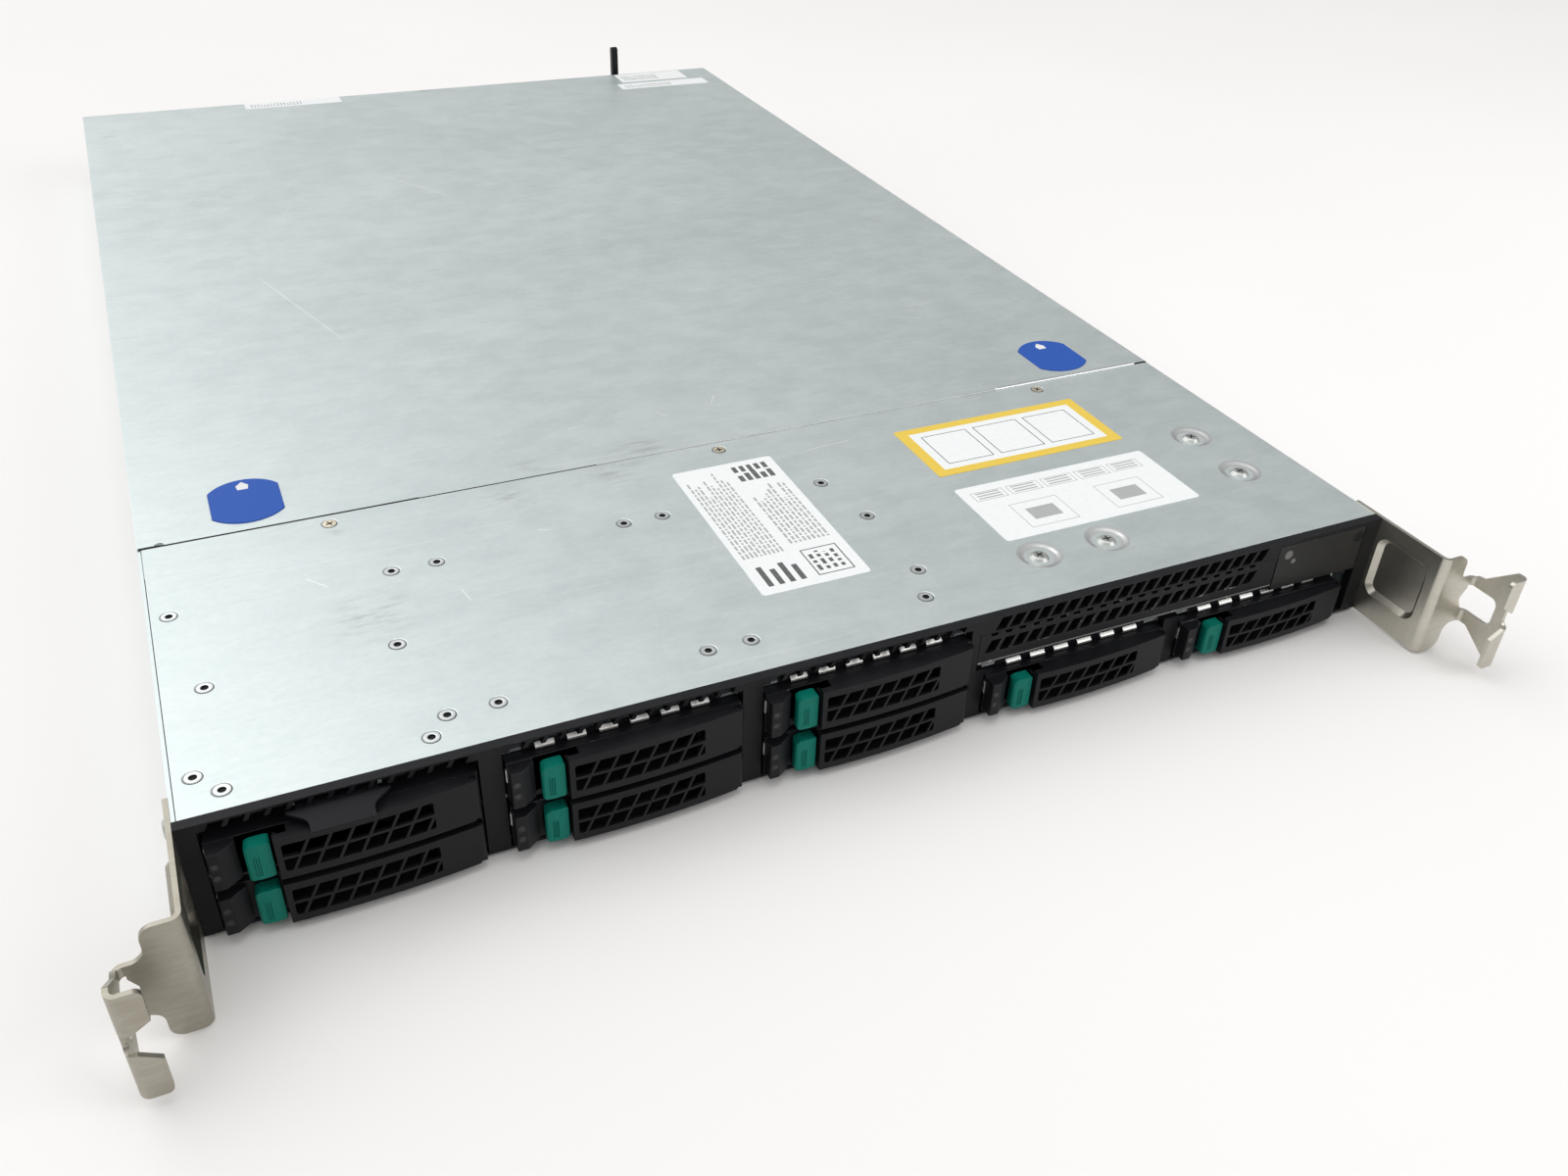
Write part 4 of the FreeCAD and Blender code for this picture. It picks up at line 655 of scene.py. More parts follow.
class Work:
    """A mesh in the making, in metres in the frame of the solids."""

    sharp_angle = 0.6
    corner_steps = 5

    def __init__(self) -> None:
        """Start empty."""
        self.bm = bmesh.new()

    @staticmethod
    def faces_of(verts: list[bmesh.types.BMVert]) -> list[bmesh.types.BMFace]:
        """Return the faces that meet at some vertices."""
        return list({f for v in verts for f in v.link_faces})

    @staticmethod
    def highest(faces: list[bmesh.types.BMFace]) -> bmesh.types.BMFace:
        """Return the face that lies highest."""
        return max(faces, key=lambda f: f.calc_center_median().z)

    @staticmethod
    def foremost(faces: list[bmesh.types.BMFace]) -> bmesh.types.BMFace:
        """Return the face that lies nearest to the front."""
        return min(faces, key=lambda f: f.calc_center_median().y)

    def inset(self, face: bmesh.types.BMFace, width: float, depth: float) -> list[bmesh.types.BMFace]:
        """Inset a face and raise it by depth, or sink it if that is negative; return the faces around it."""
        return bmesh.ops.inset_region(self.bm, faces=[face], thickness=width, depth=depth)["faces"]

    def block(self, low: Place, high: Place, edge: float = 0.0) -> list[bmesh.types.BMFace]:
        """Add a block between two corners.

        Args:
            low: Its lowest corner.
            high: Its highest corner.
            edge: How far its edges are rounded.

        Returns:
            Its six faces, if the edges stay sharp.
        """
        verts = bmesh.ops.create_cube(self.bm, size=1.0)["verts"]
        bmesh.ops.scale(self.bm, vec=Vector(high) - Vector(low), verts=verts)
        bmesh.ops.translate(self.bm, vec=(Vector(low) + Vector(high)) / 2, verts=verts)
        if edge:
            self.round(list({e for v in verts for e in v.link_edges}), edge)
            return []
        return self.faces_of(verts)

    def round(self, edges: list[bmesh.types.BMEdge], width: float, segments: int = 2,
              index: int = 0) -> None:
        """Round edges.

        Args:
            edges: The edges.
            width: How far each is cut back.
            segments: Steps across the rounding.
            index: Material slot of the new faces.
        """
        made = bmesh.ops.bevel(self.bm, geom=edges, offset=width, offset_type="OFFSET", affect="EDGES",
                               segments=segments, profile=0.5, material=-1, clamp_overlap=True)
        for face in made["faces"]:
            face.material_index = index

    def plate(self, corners: list[Point], bottom: float, top: float, radius: float = 0.0) -> None:
        """Add a flat plate.

        Args:
            corners: Its corners in x and y.
            bottom: Height of its lower face.
            top: Height of its upper face.
            radius: How far its corners are rounded.
        """
        verts = [self.bm.verts.new((x, y, bottom)) for x, y in corners]
        face = self.bm.faces.new(verts)
        grown = bmesh.ops.extrude_face_region(self.bm, geom=[face])["geom"]
        upper = [v for v in grown if isinstance(v, bmesh.types.BMVert)]
        bmesh.ops.translate(self.bm, vec=(0, 0, top - bottom), verts=upper)
        if radius:
            uprights = [e for v in verts for e in v.link_edges if e.other_vert(v) in upper]
            self.round(uprights, radius, self.corner_steps)

    def cone(self, centre: Place, low_radius: float, high_radius: float, height: float,
             sides: int = 24) -> list[bmesh.types.BMVert]:
        """Add a capped cone or cylinder that stands on its centre.

        Args:
            centre: Middle of its foot.
            low_radius: Radius at the foot.
            high_radius: Radius at the top.
            height: Its height.
            sides: Number of sides.

        Returns:
            Its vertices.
        """
        made = bmesh.ops.create_cone(self.bm, cap_ends=True, segments=sides, radius1=low_radius,
                                     radius2=high_radius, depth=height)["verts"]
        bmesh.ops.translate(self.bm, vec=Vector(centre) + Vector((0, 0, height / 2)), verts=made)
        return made

    def piece(self, name: str, finishes: tuple[Finish, ...], body: str, slot: str) -> bpy.types.Object:
        """Turn the mesh into a piece of the server.

        Args:
            name: The piece's name.
            finishes: Its finishes, in the order of the faces' material slots.
            body: The body it rides on.
            slot: The record's material slot; not used.

        Returns:
            The piece.
        """
        bmesh.ops.recalc_face_normals(self.bm, faces=self.bm.faces)
        mesh = bpy.data.meshes.new(name)
        self.bm.to_mesh(mesh)
        self.bm.free()
        for finish in finishes:
            mesh.materials.append(Materials.of(finish))
        for polygon in mesh.polygons:
            polygon.use_smooth = True
        mesh.set_sharp_from_angle(angle=self.sharp_angle)
        piece = bpy.data.objects.new(name, mesh)
        bpy.context.scene.collection.objects.link(piece)
        piece.modifiers.new("even_shading", "WEIGHTED_NORMAL").keep_sharp = True
        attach(piece, body)
        LOG.info("%s: %d faces on %s", name, len(mesh.polygons), body)
        return piece


@dataclass
class Solids:
    """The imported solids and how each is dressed."""

    frame: dict[str, Any]
    corner: float = math.radians(32)
    flat: float = math.radians(0.5)
    weld: float = 0.002 * MM

    def body_of(self, node: str) -> str:
        """Return the body that carries a node."""
        bodies = self.frame["record"]["behaviour"]["bodies"]
        return next(body for body, nodes in bodies.items() if node in nodes)

    def slot_of(self, node: str) -> str:
        """Return the record's material slot of a node."""
        return next(s["material_slot"] for s in self.frame["record"]["subparts"] if s["node"] == node)

    def paint(self, node: str, finish: Finish) -> None:
        """Give a node that stays as it is its finish.

        Args:
            node: The node.
            finish: Its finish.
        """
        materials = self.frame["nodes"][node].data.materials
        materials.clear()
        materials.append(Materials.of(finish))

    def soften(self, node: str, finish: Finish, width: float, segments: int = 2,
               edge: Finish | None = None) -> bpy.types.Object:
        """Replace a node by a copy with rounded edges.

        Args:
            node: The node.
            finish: The copy's finish.
            width: How far each sharp edge is cut back.
            segments: Steps across a rounded edge.
            edge: Finish of the rounded edges, if it differs.

        Returns:
            The copy.
        """
        work = Work()
        bm = work.bm
        bm.from_mesh(self.frame["nodes"][node].data)
        bmesh.ops.remove_doubles(bm, verts=bm.verts, dist=self.weld)
        bmesh.ops.dissolve_limit(bm, angle_limit=self.flat, verts=bm.verts, edges=bm.edges)
        sharp = [e for e in bm.edges if len(e.link_faces) == 2 and e.calc_face_angle() > self.corner]
        work.round(sharp, width, segments, index=1)
        copy = work.piece(node + "_dressed", (finish, edge or finish), self.body_of(node),
                          self.slot_of(node))
        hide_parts(node)
        return copy


@dataclass
class Case:
    """The tray, the covers with their pads, the ears and the power supply."""

    solids: Solids
    edge: float = 0.22 * MM
    handle_edge: float = 0.6 * MM
    dish_reach: float = 9.0 * MM
    dish_slope: float = 0.98

    def build(self) -> None:
        """Dress the case."""
        soften = self.solids.soften
        # The sheets' rounded edges take the bright edge finish, a painted highlight.
        soften("chassis_tray", Finish.CASE_SHEET, self.edge, segments=1, edge=Finish.SHEET_EDGE)
        self.seats(soften("front_cover", Finish.FRONT_SHEET, self.edge, edge=Finish.SHEET_EDGE))
        soften("rear_cover", Finish.REAR_SHEET, self.edge, edge=Finish.SHEET_EDGE)
        soften("cover_touch_pads", Finish.BLUE, self.edge)
        # The left ear is painted darker than the right as shade.
        soften("left_ear", Finish.SHADED_EAR, self.edge)
        soften("right_ear", Finish.EAR, self.edge)
        soften("psu_module", Finish.SUPPLY, self.edge)
        soften("psu_bay_blank", Finish.CASE_SHEET, self.edge, segments=1)
        soften("psu_handle", Finish.BLACK, self.handle_edge, segments=3)

    def seats(self, cover: bpy.types.Object) -> None:
        """Paint the sloping walls of the dished seats with a bright finish, as a painted highlight.

        Args:
            cover: The front cover.
        """
        cover.data.materials.append(Materials.of(Finish.SEAT_HIGHLIGHT))
        places = [Vector(on_cover(x, y)) for x, y in DISH_PLACES]
        for polygon in cover.data.polygons:
            near = min((polygon.center.xy - place).length for place in places)
            if near < self.dish_reach and polygon.normal.z < self.dish_slope:
                polygon.material_index = 2


@dataclass
class Screws:
    """The screws of the covers, of the dished seats and of the ears.

    Places and the ears' heights are in millimetres, with y from the front edge of the cover.
    """

    head_radius: float = 2.8 * MM
    head_taper: float = 0.6
    head_depth: float = 0.9 * MM
    head_sink: float = 0.03 * MM
    head_rim: float = 0.4 * MM
    rim_rise: float = 0.12 * MM
    land_drop: float = 0.05 * MM
    lip_width: float = 0.1 * MM
    lip_drop: float = 0.04 * MM
    socket_radius: float = 1.25 * MM
    socket_wall: float = 0.12 * MM
    socket_depth: float = 0.5 * MM
    seam_cross: Place = (3.0 * MM, 0.55 * MM, 0.16 * MM)
    seam_turn: float = 0.5
    flat_places: tuple[Point, ...] = (
        (-211.8, 100.0), (-204.8, 57.2), (-211.8, 16.5), (-204.8, 8.2), (-139.4, 100.0), (-123.6, 100.0),
        (-146.0, 57.2), (-146.0, 8.2), (-139.4, 16.5), (-123.6, 16.5), (-54.2, 100.0), (-39.0, 100.0),
        (-54.2, 16.5), (-39.0, 16.5), (27.2, 100.0), (33.0, 71.7), (33.0, 32.3), (27.2, 16.5))
    seam_places: tuple[Point, ...] = ((-154.0, 139.1), (0.0, 139.1), (154.0, 139.1))
    dish_floor: float = 42.0 * MM
    pan_radius: float = 3.7 * MM
    pan_taper: float = 0.72
    pan_height: float = 1.3 * MM
    pan_edge: float = 0.5 * MM
    pan_sides: int = 28
    pan_cross: Place = (3.2 * MM, 0.6 * MM, 0.1 * MM)
    pan_turn: float = 0.4
    ear_screw: Point = (220.5, 5.0)
    ear_screw_heights: tuple[float, float] = (6.6, 36.6)

    def build(self) -> None:
        """Make every screw."""
        self.cover_screws()
        self.pan_screws()

    def flat_head(self, work: Work, place: Point) -> bmesh.types.BMFace:
        """Add one flat head with a soft rim, painted dark grey as a shadow outline.

        Args:
            work: The mesh that gets it.
            place: Its x, and y from the front edge of the cover, in millimetres.

        Returns:
            The face in the middle of its top.
        """
        foot = (*on_cover(*place), COVER_TOP - self.head_depth - self.head_sink)
        verts = work.cone(foot, self.head_taper * self.head_radius, self.head_radius, self.head_depth)
        cap = work.highest(work.faces_of(verts))
        # The rim ring takes slot 2, the painted shadow outline.
        for face in work.inset(cap, self.head_rim, self.rim_rise):
            face.material_index = 2
        land = self.head_radius - self.head_rim - self.socket_radius - self.lip_width
        work.inset(cap, land, -self.land_drop)
        return cap

    def cross(self, work: Work, move: Matrix, size: Place) -> None:
        """Add a thin dark cross that fills a screw's recess, as painted shade in place of the recess.

        Args:
            work: The mesh that gets it.
            move: The move from the origin to its place.
            size: Length and width of its arms, and its height.
        """
        for angle in (0.0, math.pi / 2):
            verts = bmesh.ops.create_cube(work.bm, size=1.0)["verts"]
            bmesh.ops.scale(work.bm, vec=size, verts=verts)
            bmesh.ops.transform(work.bm, matrix=move @ Matrix.Rotation(angle, 4, "Z"), verts=verts)

    def cover_screws(self) -> None:
        """Make the flat screws with their sockets and the seam screws with their cross recesses."""
        heads, seam, crosses = Work(), Work(), Work()
        for place in self.flat_places:
            cap = self.flat_head(heads, place)
            heads.inset(cap, self.lip_width, -self.lip_drop)
            # The socket's walls and floor are painted near-black as shade.
            for face in (cap, *heads.inset(cap, self.socket_wall, -self.socket_depth)):
                face.material_index = 1
        for i, place in enumerate(self.seam_places):
            self.flat_head(seam, place)
            turn = Matrix.Rotation(self.seam_turn + i, 4, "Z")
            move = Matrix.Translation((*on_cover(*place), COVER_TOP)) @ turn
            self.cross(crosses, move, self.seam_cross)
        heads.piece("cover_screw_heads", (Finish.SCREW, Finish.SHADE_AND_INSERTS, Finish.RIM_SHADOW), "chassis", "screw_steel")
        seam.piece("seam_screw_heads", (Finish.BRASS, Finish.SHADE_AND_INSERTS, Finish.RIM_SHADOW), "chassis", "screw_steel")
        crosses.piece("seam_screw_crosses", (Finish.SHADE_AND_INSERTS,), "chassis", "black_plastic")

    def pan_moves(self) -> list[Matrix]:
        """Place the round-headed screws.

        Returns:
            The move from the origin to each: the dished seats' first, and then the ears'.
        """
        moves = []
        for i, place in enumerate(DISH_PLACES):
            turn = Matrix.Rotation(self.pan_turn + i, 4, "Z")
            moves.append(Matrix.Translation((*on_cover(*place), self.dish_floor)) @ turn)
        x, y = on_cover(*self.ear_screw)
        for side in (-1, 1):
            for height in self.ear_screw_heights:
                turn = Matrix.Rotation(side * math.pi / 2, 4, "Y")
                moves.append(Matrix.Translation((side * x, y, height * MM)) @ turn)
        return moves

    def pan_screws(self) -> None:
        """Make the round-headed screws of the dished seats and of the ears."""
        heads, crosses = Work(), Work()
        top_radius = self.pan_taper * self.pan_radius
        for move in self.pan_moves():
            verts = heads.cone((0, 0, 0), self.pan_radius, top_radius, self.pan_height, self.pan_sides)
            rim = list(heads.highest(heads.faces_of(verts)).edges)
            bmesh.ops.transform(heads.bm, matrix=move, verts=verts)
            heads.round(rim, self.pan_edge, segments=3)
            self.cross(crosses, move @ Matrix.Translation((0, 0, self.pan_height)), self.pan_cross)
        piece = heads.piece("pan_screw_heads", (Finish.PAN,), "chassis", "screw_steel")
        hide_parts("case_screws")
        crosses.piece("pan_screw_crosses", (Finish.SHADE_AND_INSERTS,), "chassis", "black_plastic")


@dataclass
class RearFittings:
    """The supply's fan grille and the inserts of the rear sockets.

    Places, boxes and insets are in millimetres. A network socket's boxes start from its left edge.
    """

    solids: Solids
    grille_place: Point = (152.5, 21.6)
    grille_radius: float = 15.5 * MM
    grille_steps: int = 40
    grille_wire: float = 0.55 * MM
    wire_sides: int = 8
    grille_rings: tuple[float, ...] = (0.22, 0.48, 0.74, 1.0)
    grille_gap: float = 0.6 * MM
    opening_depth: float = 0.1 * MM
    bar_reach: float = 1.02
    bar_sink: float = 0.1 * MM
    bar_rise: float = 0.5 * MM
    bar_edge: float = 0.15 * MM
    insert_back: float = 12.0
    network_lefts: tuple[float, ...] = (-34.4, -20.7, -7.0)
    network_boxes: tuple[Box, ...] = ((0.0, 12.0, 10.2, 15.0), (2.9, 8.9, 15.0, 19.5))
    network_inset: float = 1.0
    bus_boxes: tuple[Box, ...] = ((20.5, 32.1, 11.8, 13.8), (20.5, 32.1, 18.9, 20.9))
    bus_inset: float = 1.5

    def build(self) -> None:
        """Make the fittings."""
        self.supply_grille()
        self.port_inserts()

    def grille_ring(self, work: Work, centre: Vector, radius: float) -> None:
        """Add one wire ring of the supply's grille.

        Args:
            work: The mesh that gets it.
            centre: Its middle.
            radius: Its radius.
        """
        wire = bmesh.ops.create_circle(work.bm, cap_ends=False, segments=self.wire_sides,
                                       radius=self.grille_wire)["verts"]
        bmesh.ops.translate(work.bm, vec=centre + Vector((radius, 0, 0)), verts=wire)
        edges = list({e for v in wire for e in v.link_edges})
        bmesh.ops.spin(work.bm, geom=[*wire, *edges], cent=centre, axis=(0, 1, 0), angle=2 * math.pi,
                       steps=self.grille_steps, use_merge=True)

    def supply_grille(self) -> None:
        """Fit the round wire grille over the supply's fan opening, which is a near-black disc of painted
        shade.
        """
        opening, wires = Work(), Work()
        x, z = (v * MM for v in self.grille_place)
        verts = opening.cone((0, 0, 0), self.grille_radius, self.grille_radius, self.opening_depth,
                             self.grille_steps)
        back = Matrix.Translation((x, REAR - self.opening_depth / 2, z))
        bmesh.ops.transform(opening.bm, matrix=back @ Matrix.Rotation(-math.pi / 2, 4, "X"), verts=verts)
        for share in self.grille_rings:
            self.grille_ring(wires, Vector((x, REAR + self.grille_gap, z)), self.grille_radius * share)
        reach, wire = self.grille_radius * self.bar_reach, self.grille_wire
        near, far = REAR - self.bar_sink, REAR + self.bar_rise
        for dx, dz in ((reach, wire), (wire, reach)):
            wires.block((x - dx, near, z - dz), (x + dx, far, z + dz), self.bar_edge)
        body = self.solids.body_of("psu_module")
        opening.piece("supply_fan_opening", (Finish.SHADE_AND_INSERTS,), body, "black_plastic")
        wires.piece("supply_fan_grille", (Finish.SUPPLY,), body, "supply_case")

    def port_inserts(self) -> None:
        """Fill the rear sockets with their dark inserts and tongues."""
        work = Work()
        boxes = [(left + x0, left + x1, z0, z1, self.network_inset)
                 for x0, x1, z0, z1 in self.network_boxes for left in self.network_lefts]
        boxes += [(*box, self.bus_inset) for box in self.bus_boxes]
        for x0, x1, z0, z1, inset in boxes:
            near, far = REAR - self.insert_back * MM, REAR - inset * MM
            work.block((x0 * MM, near, z0 * MM), (x1 * MM, far, z1 * MM))
        work.piece("port_inserts", (Finish.SHADE_AND_INSERTS,), "chassis", "black_plastic")


@dataclass
class CoverMarks:
    """The arrows on the pads and the seam between the covers.

    Places are in millimetres, with y from the front edge of the cover. Each run of the seam has its
    first and last x and its width, and a rolled run's height, depth and rounding are shares of its width.
    """

    arrow_places: tuple[Point, ...] = ((-180.0, 177.0), (180.0, 176.2))
    arrow_shape: tuple[Point, ...] = ((-1.9, -2.4), (1.9, -2.4), (2.3, 0.6), (0.0, 3.4), (-2.3, 0.6))
    arrow_sink: float = 0.02 * MM
    arrow_rise: float = 0.05 * MM
    pad_top: float = 43.6 * MM
    seam_start: float = 145.0
    seam_sink: float = 0.1 * MM
    gap_rise: float = 0.02 * MM
    gap_runs: tuple[Place, ...] = (
        (-218.6, -211.6, 1.3), (-211.6, -120.0, 0.8), (-120.0, -50.0, 0.45), (211.6, 218.6, 1.3))
    rolled_runs: tuple[Place, ...] = ((-20.0, 40.0, 0.45), (136.8, 211.6, 1.1))
    roll_height: float = 0.5
    roll_depth: float = 1.5
    roll_edge: float = 0.48

    def build(self) -> None:
        """Make the marks."""
        self.arrows()
        self.seam_gaps()

    def arrows(self) -> None:
        """Print a small house-shaped arrow on each pad."""
        work = Work()
        for x, y in self.arrow_places:
            corners = [on_cover(x + u, y + v) for u, v in self.arrow_shape]
            work.plate(corners, self.pad_top - self.arrow_sink, self.pad_top + self.arrow_rise)
        work.piece("pad_arrows", (Finish.ARROW,), "rear_cover", "blue_plastic")

    def seam_gaps(self) -> None:
        """Mark the seam between the covers: a near-black strip in the gap to the left, as painted shade, and
        to the right a rolled edge with a bright finish, as a painted highlight.
        """
        _, start = on_cover(0.0, self.seam_start)
        sunk = COVER_TOP - self.seam_sink
        gap, rolled = Work(), Work()
        for x0, x1, width in self.gap_runs:
            gap.block((x0 * MM, start, sunk), (x1 * MM, start + width * MM, COVER_TOP + self.gap_rise))
        for x0, x1, width in self.rolled_runs:
            top = COVER_TOP + self.roll_height * width * MM
            end = start + self.roll_depth * width * MM
            faces = rolled.block((x0 * MM, start, sunk), (x1 * MM, end, top))
            above, before = rolled.highest(faces), rolled.foremost(faces)
            shared = [e for e in above.edges if before in e.link_faces]
            rolled.round(shared, self.roll_edge * width * MM, segments=3)
        gap.piece("seam_gaps", (Finish.SHADE_AND_INSERTS,), "rear_cover", "black_plastic")
        rolled.piece("seam_rolled_edge", (Finish.SEAT_HIGHLIGHT,), "rear_cover", "galvanised_sheet")


@dataclass
class Face:
    """The bezel, the filler, the panel, the tag and the shielding fingers.

    Lamps and the dimple have x, z and a radius, all in millimetres.
    """

    solids: Solids
    edge: float = 0.2 * MM
    finger_edge: float = 0.08 * MM
    band_front: float = 0.45 * MM
    bezel_wear: Point = (40.4 * MM, 44.0 * MM)
    filler_wear: Point = (23.0 * MM, 24.9 * MM)
    line_heights: Point = (24.3 * MM, 25.0 * MM)
    line_rise: float = 0.03 * MM
    line_depth: float = 0.3 * MM
    line_edge: float = 0.05 * MM
    face_reach: float = 3.6 * MM
    lamps: tuple[Place, ...] = ((174.1, 37.0, 1.9), (177.2, 33.6, 1.1))
    lamp_rise: float = 0.12 * MM
    dimple: Place = (209.0, 37.0, 2.3)
    ring_rise: float = 0.1 * MM
    ring_width: float = 0.3 * MM
    ring_wall: float = 0.15 * MM
    ring_drop: float = 0.09 * MM
    disc_taper: float = 0.94

    def build(self) -> None:
        """Dress the face."""
        for node, finish in (("front_bezel", Finish.BLACK), ("control_panel", Finish.PANEL),
                             ("asset_tag_tab", Finish.BLACK)):
            # Their rounded edges are lighter as a painted highlight, with chips.
            piece = self.solids.soften(node, finish, self.edge, edge=Finish.BLACK_EDGE)
            self.wear(piece, Finish.WORN_EDGE, self.bezel_wear)
        filler = self.solids.soften("bay_filler_grille", Finish.BLACK, self.edge, edge=Finish.WORN_EDGE)
        self.wear(filler, Finish.BARE_EDGE, self.filler_wear)
        self.worn_line()
        self.fingers()
        self.panel_marks()

    def wear(self, piece: bpy.types.Object, finish: Finish, band: Point) -> None:
        """Give the rounded edges between two heights a more worn finish.

        Args:
            piece: The piece, with its rounded edges in material slot 1.
            finish: The worn finish.
            band: The two heights.
        """
        piece.data.materials.append(Materials.of(finish))
        for polygon in piece.data.polygons:
            if polygon.material_index == 1 and band[0] < polygon.center.z < band[1]:
                polygon.material_index = 2

    def worn_line(self) -> None:
        """Lay the rubbed line along the foot of the filler's face."""
        low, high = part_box("bay_filler_grille")
        work = Work()
        work.block((low[0] + self.edge, low[1] - self.line_rise, self.line_heights[0]),
                   (high[0] - self.edge, low[1] + self.line_depth, self.line_heights[1]), self.line_edge)
        work.piece("filler_worn_line", (Finish.BARE_EDGE,), "chassis", "black_plastic")

    def fingers(self) -> None:
        """Dress the shielding strips: bright bowed fingers before a band painted black as shade."""
        strips = self.solids.soften("emi_spring_fingers", Finish.SPRING, self.finger_edge, segments=1)
        # The band behind the fingers is painted black: painted shade.
        strips.data.materials[1] = Materials.of(Finish.BLACK)
        for polygon in strips.data.polygons:
            polygon.material_index = int(polygon.center.y > FRONT - self.band_front)

    def disc(self, work: Work, spot: Place, height: float) -> bmesh.types.BMFace:
        """Add a flat disc on the panel.

        Args:
            work: The mesh that gets it.
            spot: Its x, z and radius in millimetres.
            height: How far it stands out.

        Returns:
            Its front face.
        """
        x, z, radius = (v * MM for v in spot)
        verts = work.cone((0, 0, 0), radius, self.disc_taper * radius, height)
        move = Matrix.Translation((x, FRONT - self.face_reach, z)) @ Matrix.Rotation(math.pi / 2, 4, "X")
        bmesh.ops.transform(work.bm, matrix=move, verts=verts)
        return work.foremost(work.faces_of(verts))

    def panel_marks(self) -> None:
        """Make the two round lamp lenses and the sunk ring of the control panel."""
        lenses, ring = Work(), Work()
        for spot in self.lamps:
            self.disc(lenses, spot, self.lamp_rise)
        cap = self.disc(ring, self.dimple, self.ring_rise)
        ring.inset(cap, self.ring_width, 0.0)
        ring.inset(cap, self.ring_wall, -self.ring_drop)
        lenses.piece("panel_lenses", (Finish.GREY_LENS,), "chassis", "black_plastic")
        ring.piece("panel_ring", (Finish.BLACK,), "chassis", "black_plastic")


@dataclass
class Bays:
    """The drive carriers with their levers, latches, light windows and contact springs, which also stand in
    for glints.
    """

    solids: Solids
    edge: float = 0.2 * MM
    latch_edge: float = 0.3 * MM
    window_x: float = 1.8 * MM
    window_heights: Point = (5.9 * MM, 10.3 * MM)
    window_size: float = 2.3 * MM
    window_frame: float = 0.35 * MM
    window_rise: float = 0.06 * MM
    window_depth: float = 0.3 * MM
    window_drop: float = 0.12 * MM
    spring_y: float = 5.0 * MM
    spring_width: float = 1.1 * MM
    spring_bottom: float = 8.0 * MM
    spring_height: float = 5.0 * MM
    spring_rise: float = 0.25 * MM
    spring_sink: float = 0.1 * MM
    spring_edge: float = 0.1 * MM

    def build(self) -> None:
        """Dress every bay."""
        for n in range(1, BAY_COUNT + 1):
            # Their rounded edges are lighter as a painted highlight, with chips.
            self.solids.soften(f"drive_carrier_{n}", Finish.BLACK, self.edge, edge=Finish.BLACK_EDGE)
            self.solids.soften(f"carrier_lever_{n}", Finish.BLACK, self.edge, edge=Finish.BLACK_EDGE)
            self.solids.soften(f"carrier_latch_{n}", Finish.GREEN, self.latch_edge, segments=3)
            self.windows(n)
            self.spring(n)

    def windows(self, n: int) -> None:
        """Fit the two square light windows of a carrier's block.

        Args:
            n: The bay's number.
        """
        work = Work()
        node = f"drive_carrier_{n}"
        low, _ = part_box(node)
        half = self.window_size / 2
        for height in self.window_heights:
            x, y, z = low[0] + self.window_x, low[1], low[2] + height
            faces = work.block((x - half, y - self.window_rise, z - half),
                               (x + half, y + self.window_depth, z + half))
            cap = work.foremost(faces)
            work.inset(cap, self.window_frame, -self.window_drop)
            cap.material_index = 1
        work.piece(f"light_windows_{n}", (Finish.WINDOW, Finish.LENS), self.solids.body_of(node),
                   "black_plastic")

    def spring(self, n: int) -> None:
        """Fit the small bright contact spring at a carrier's left side, a near-white strip that also stands
        in for a glint there.

        Args:
            n: The bay's number.
        """
        work = Work()
        node = f"drive_carrier_{n}"
        low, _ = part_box(node)
        y, z = low[1] + self.spring_y, low[2] + self.spring_bottom
        work.block((low[0] - self.spring_rise, y, z),
                   (low[0] + self.spring_sink, y + self.spring_width, z + self.spring_height),
                   self.spring_edge)
        work.piece(f"contact_spring_{n}", (Finish.SPRING,), self.solids.body_of(node), "spring_steel")


@dataclass(frozen=True)
class Row:
    """Equal marks side by side, in shares of a sticker's width and length.

    Each head lies further by rise than the one before it, and starts again after each cycle of marks.
    """

    count: int
    left: float
    pitch: float
    width: float
    foot: float
    head: float
    rise: float = 0.0
    cycle: int = 1

    def boxes(self) -> list[Box]:
        """Lay out the marks.

        Returns:
            The left and right edge, the foot and the head of each.
        """
        lefts = [self.left + self.pitch * k for k in range(self.count)]
        return [(left, left + self.width, self.foot, self.head + self.rise * (k % self.cycle))
                for k, left in enumerate(lefts)]


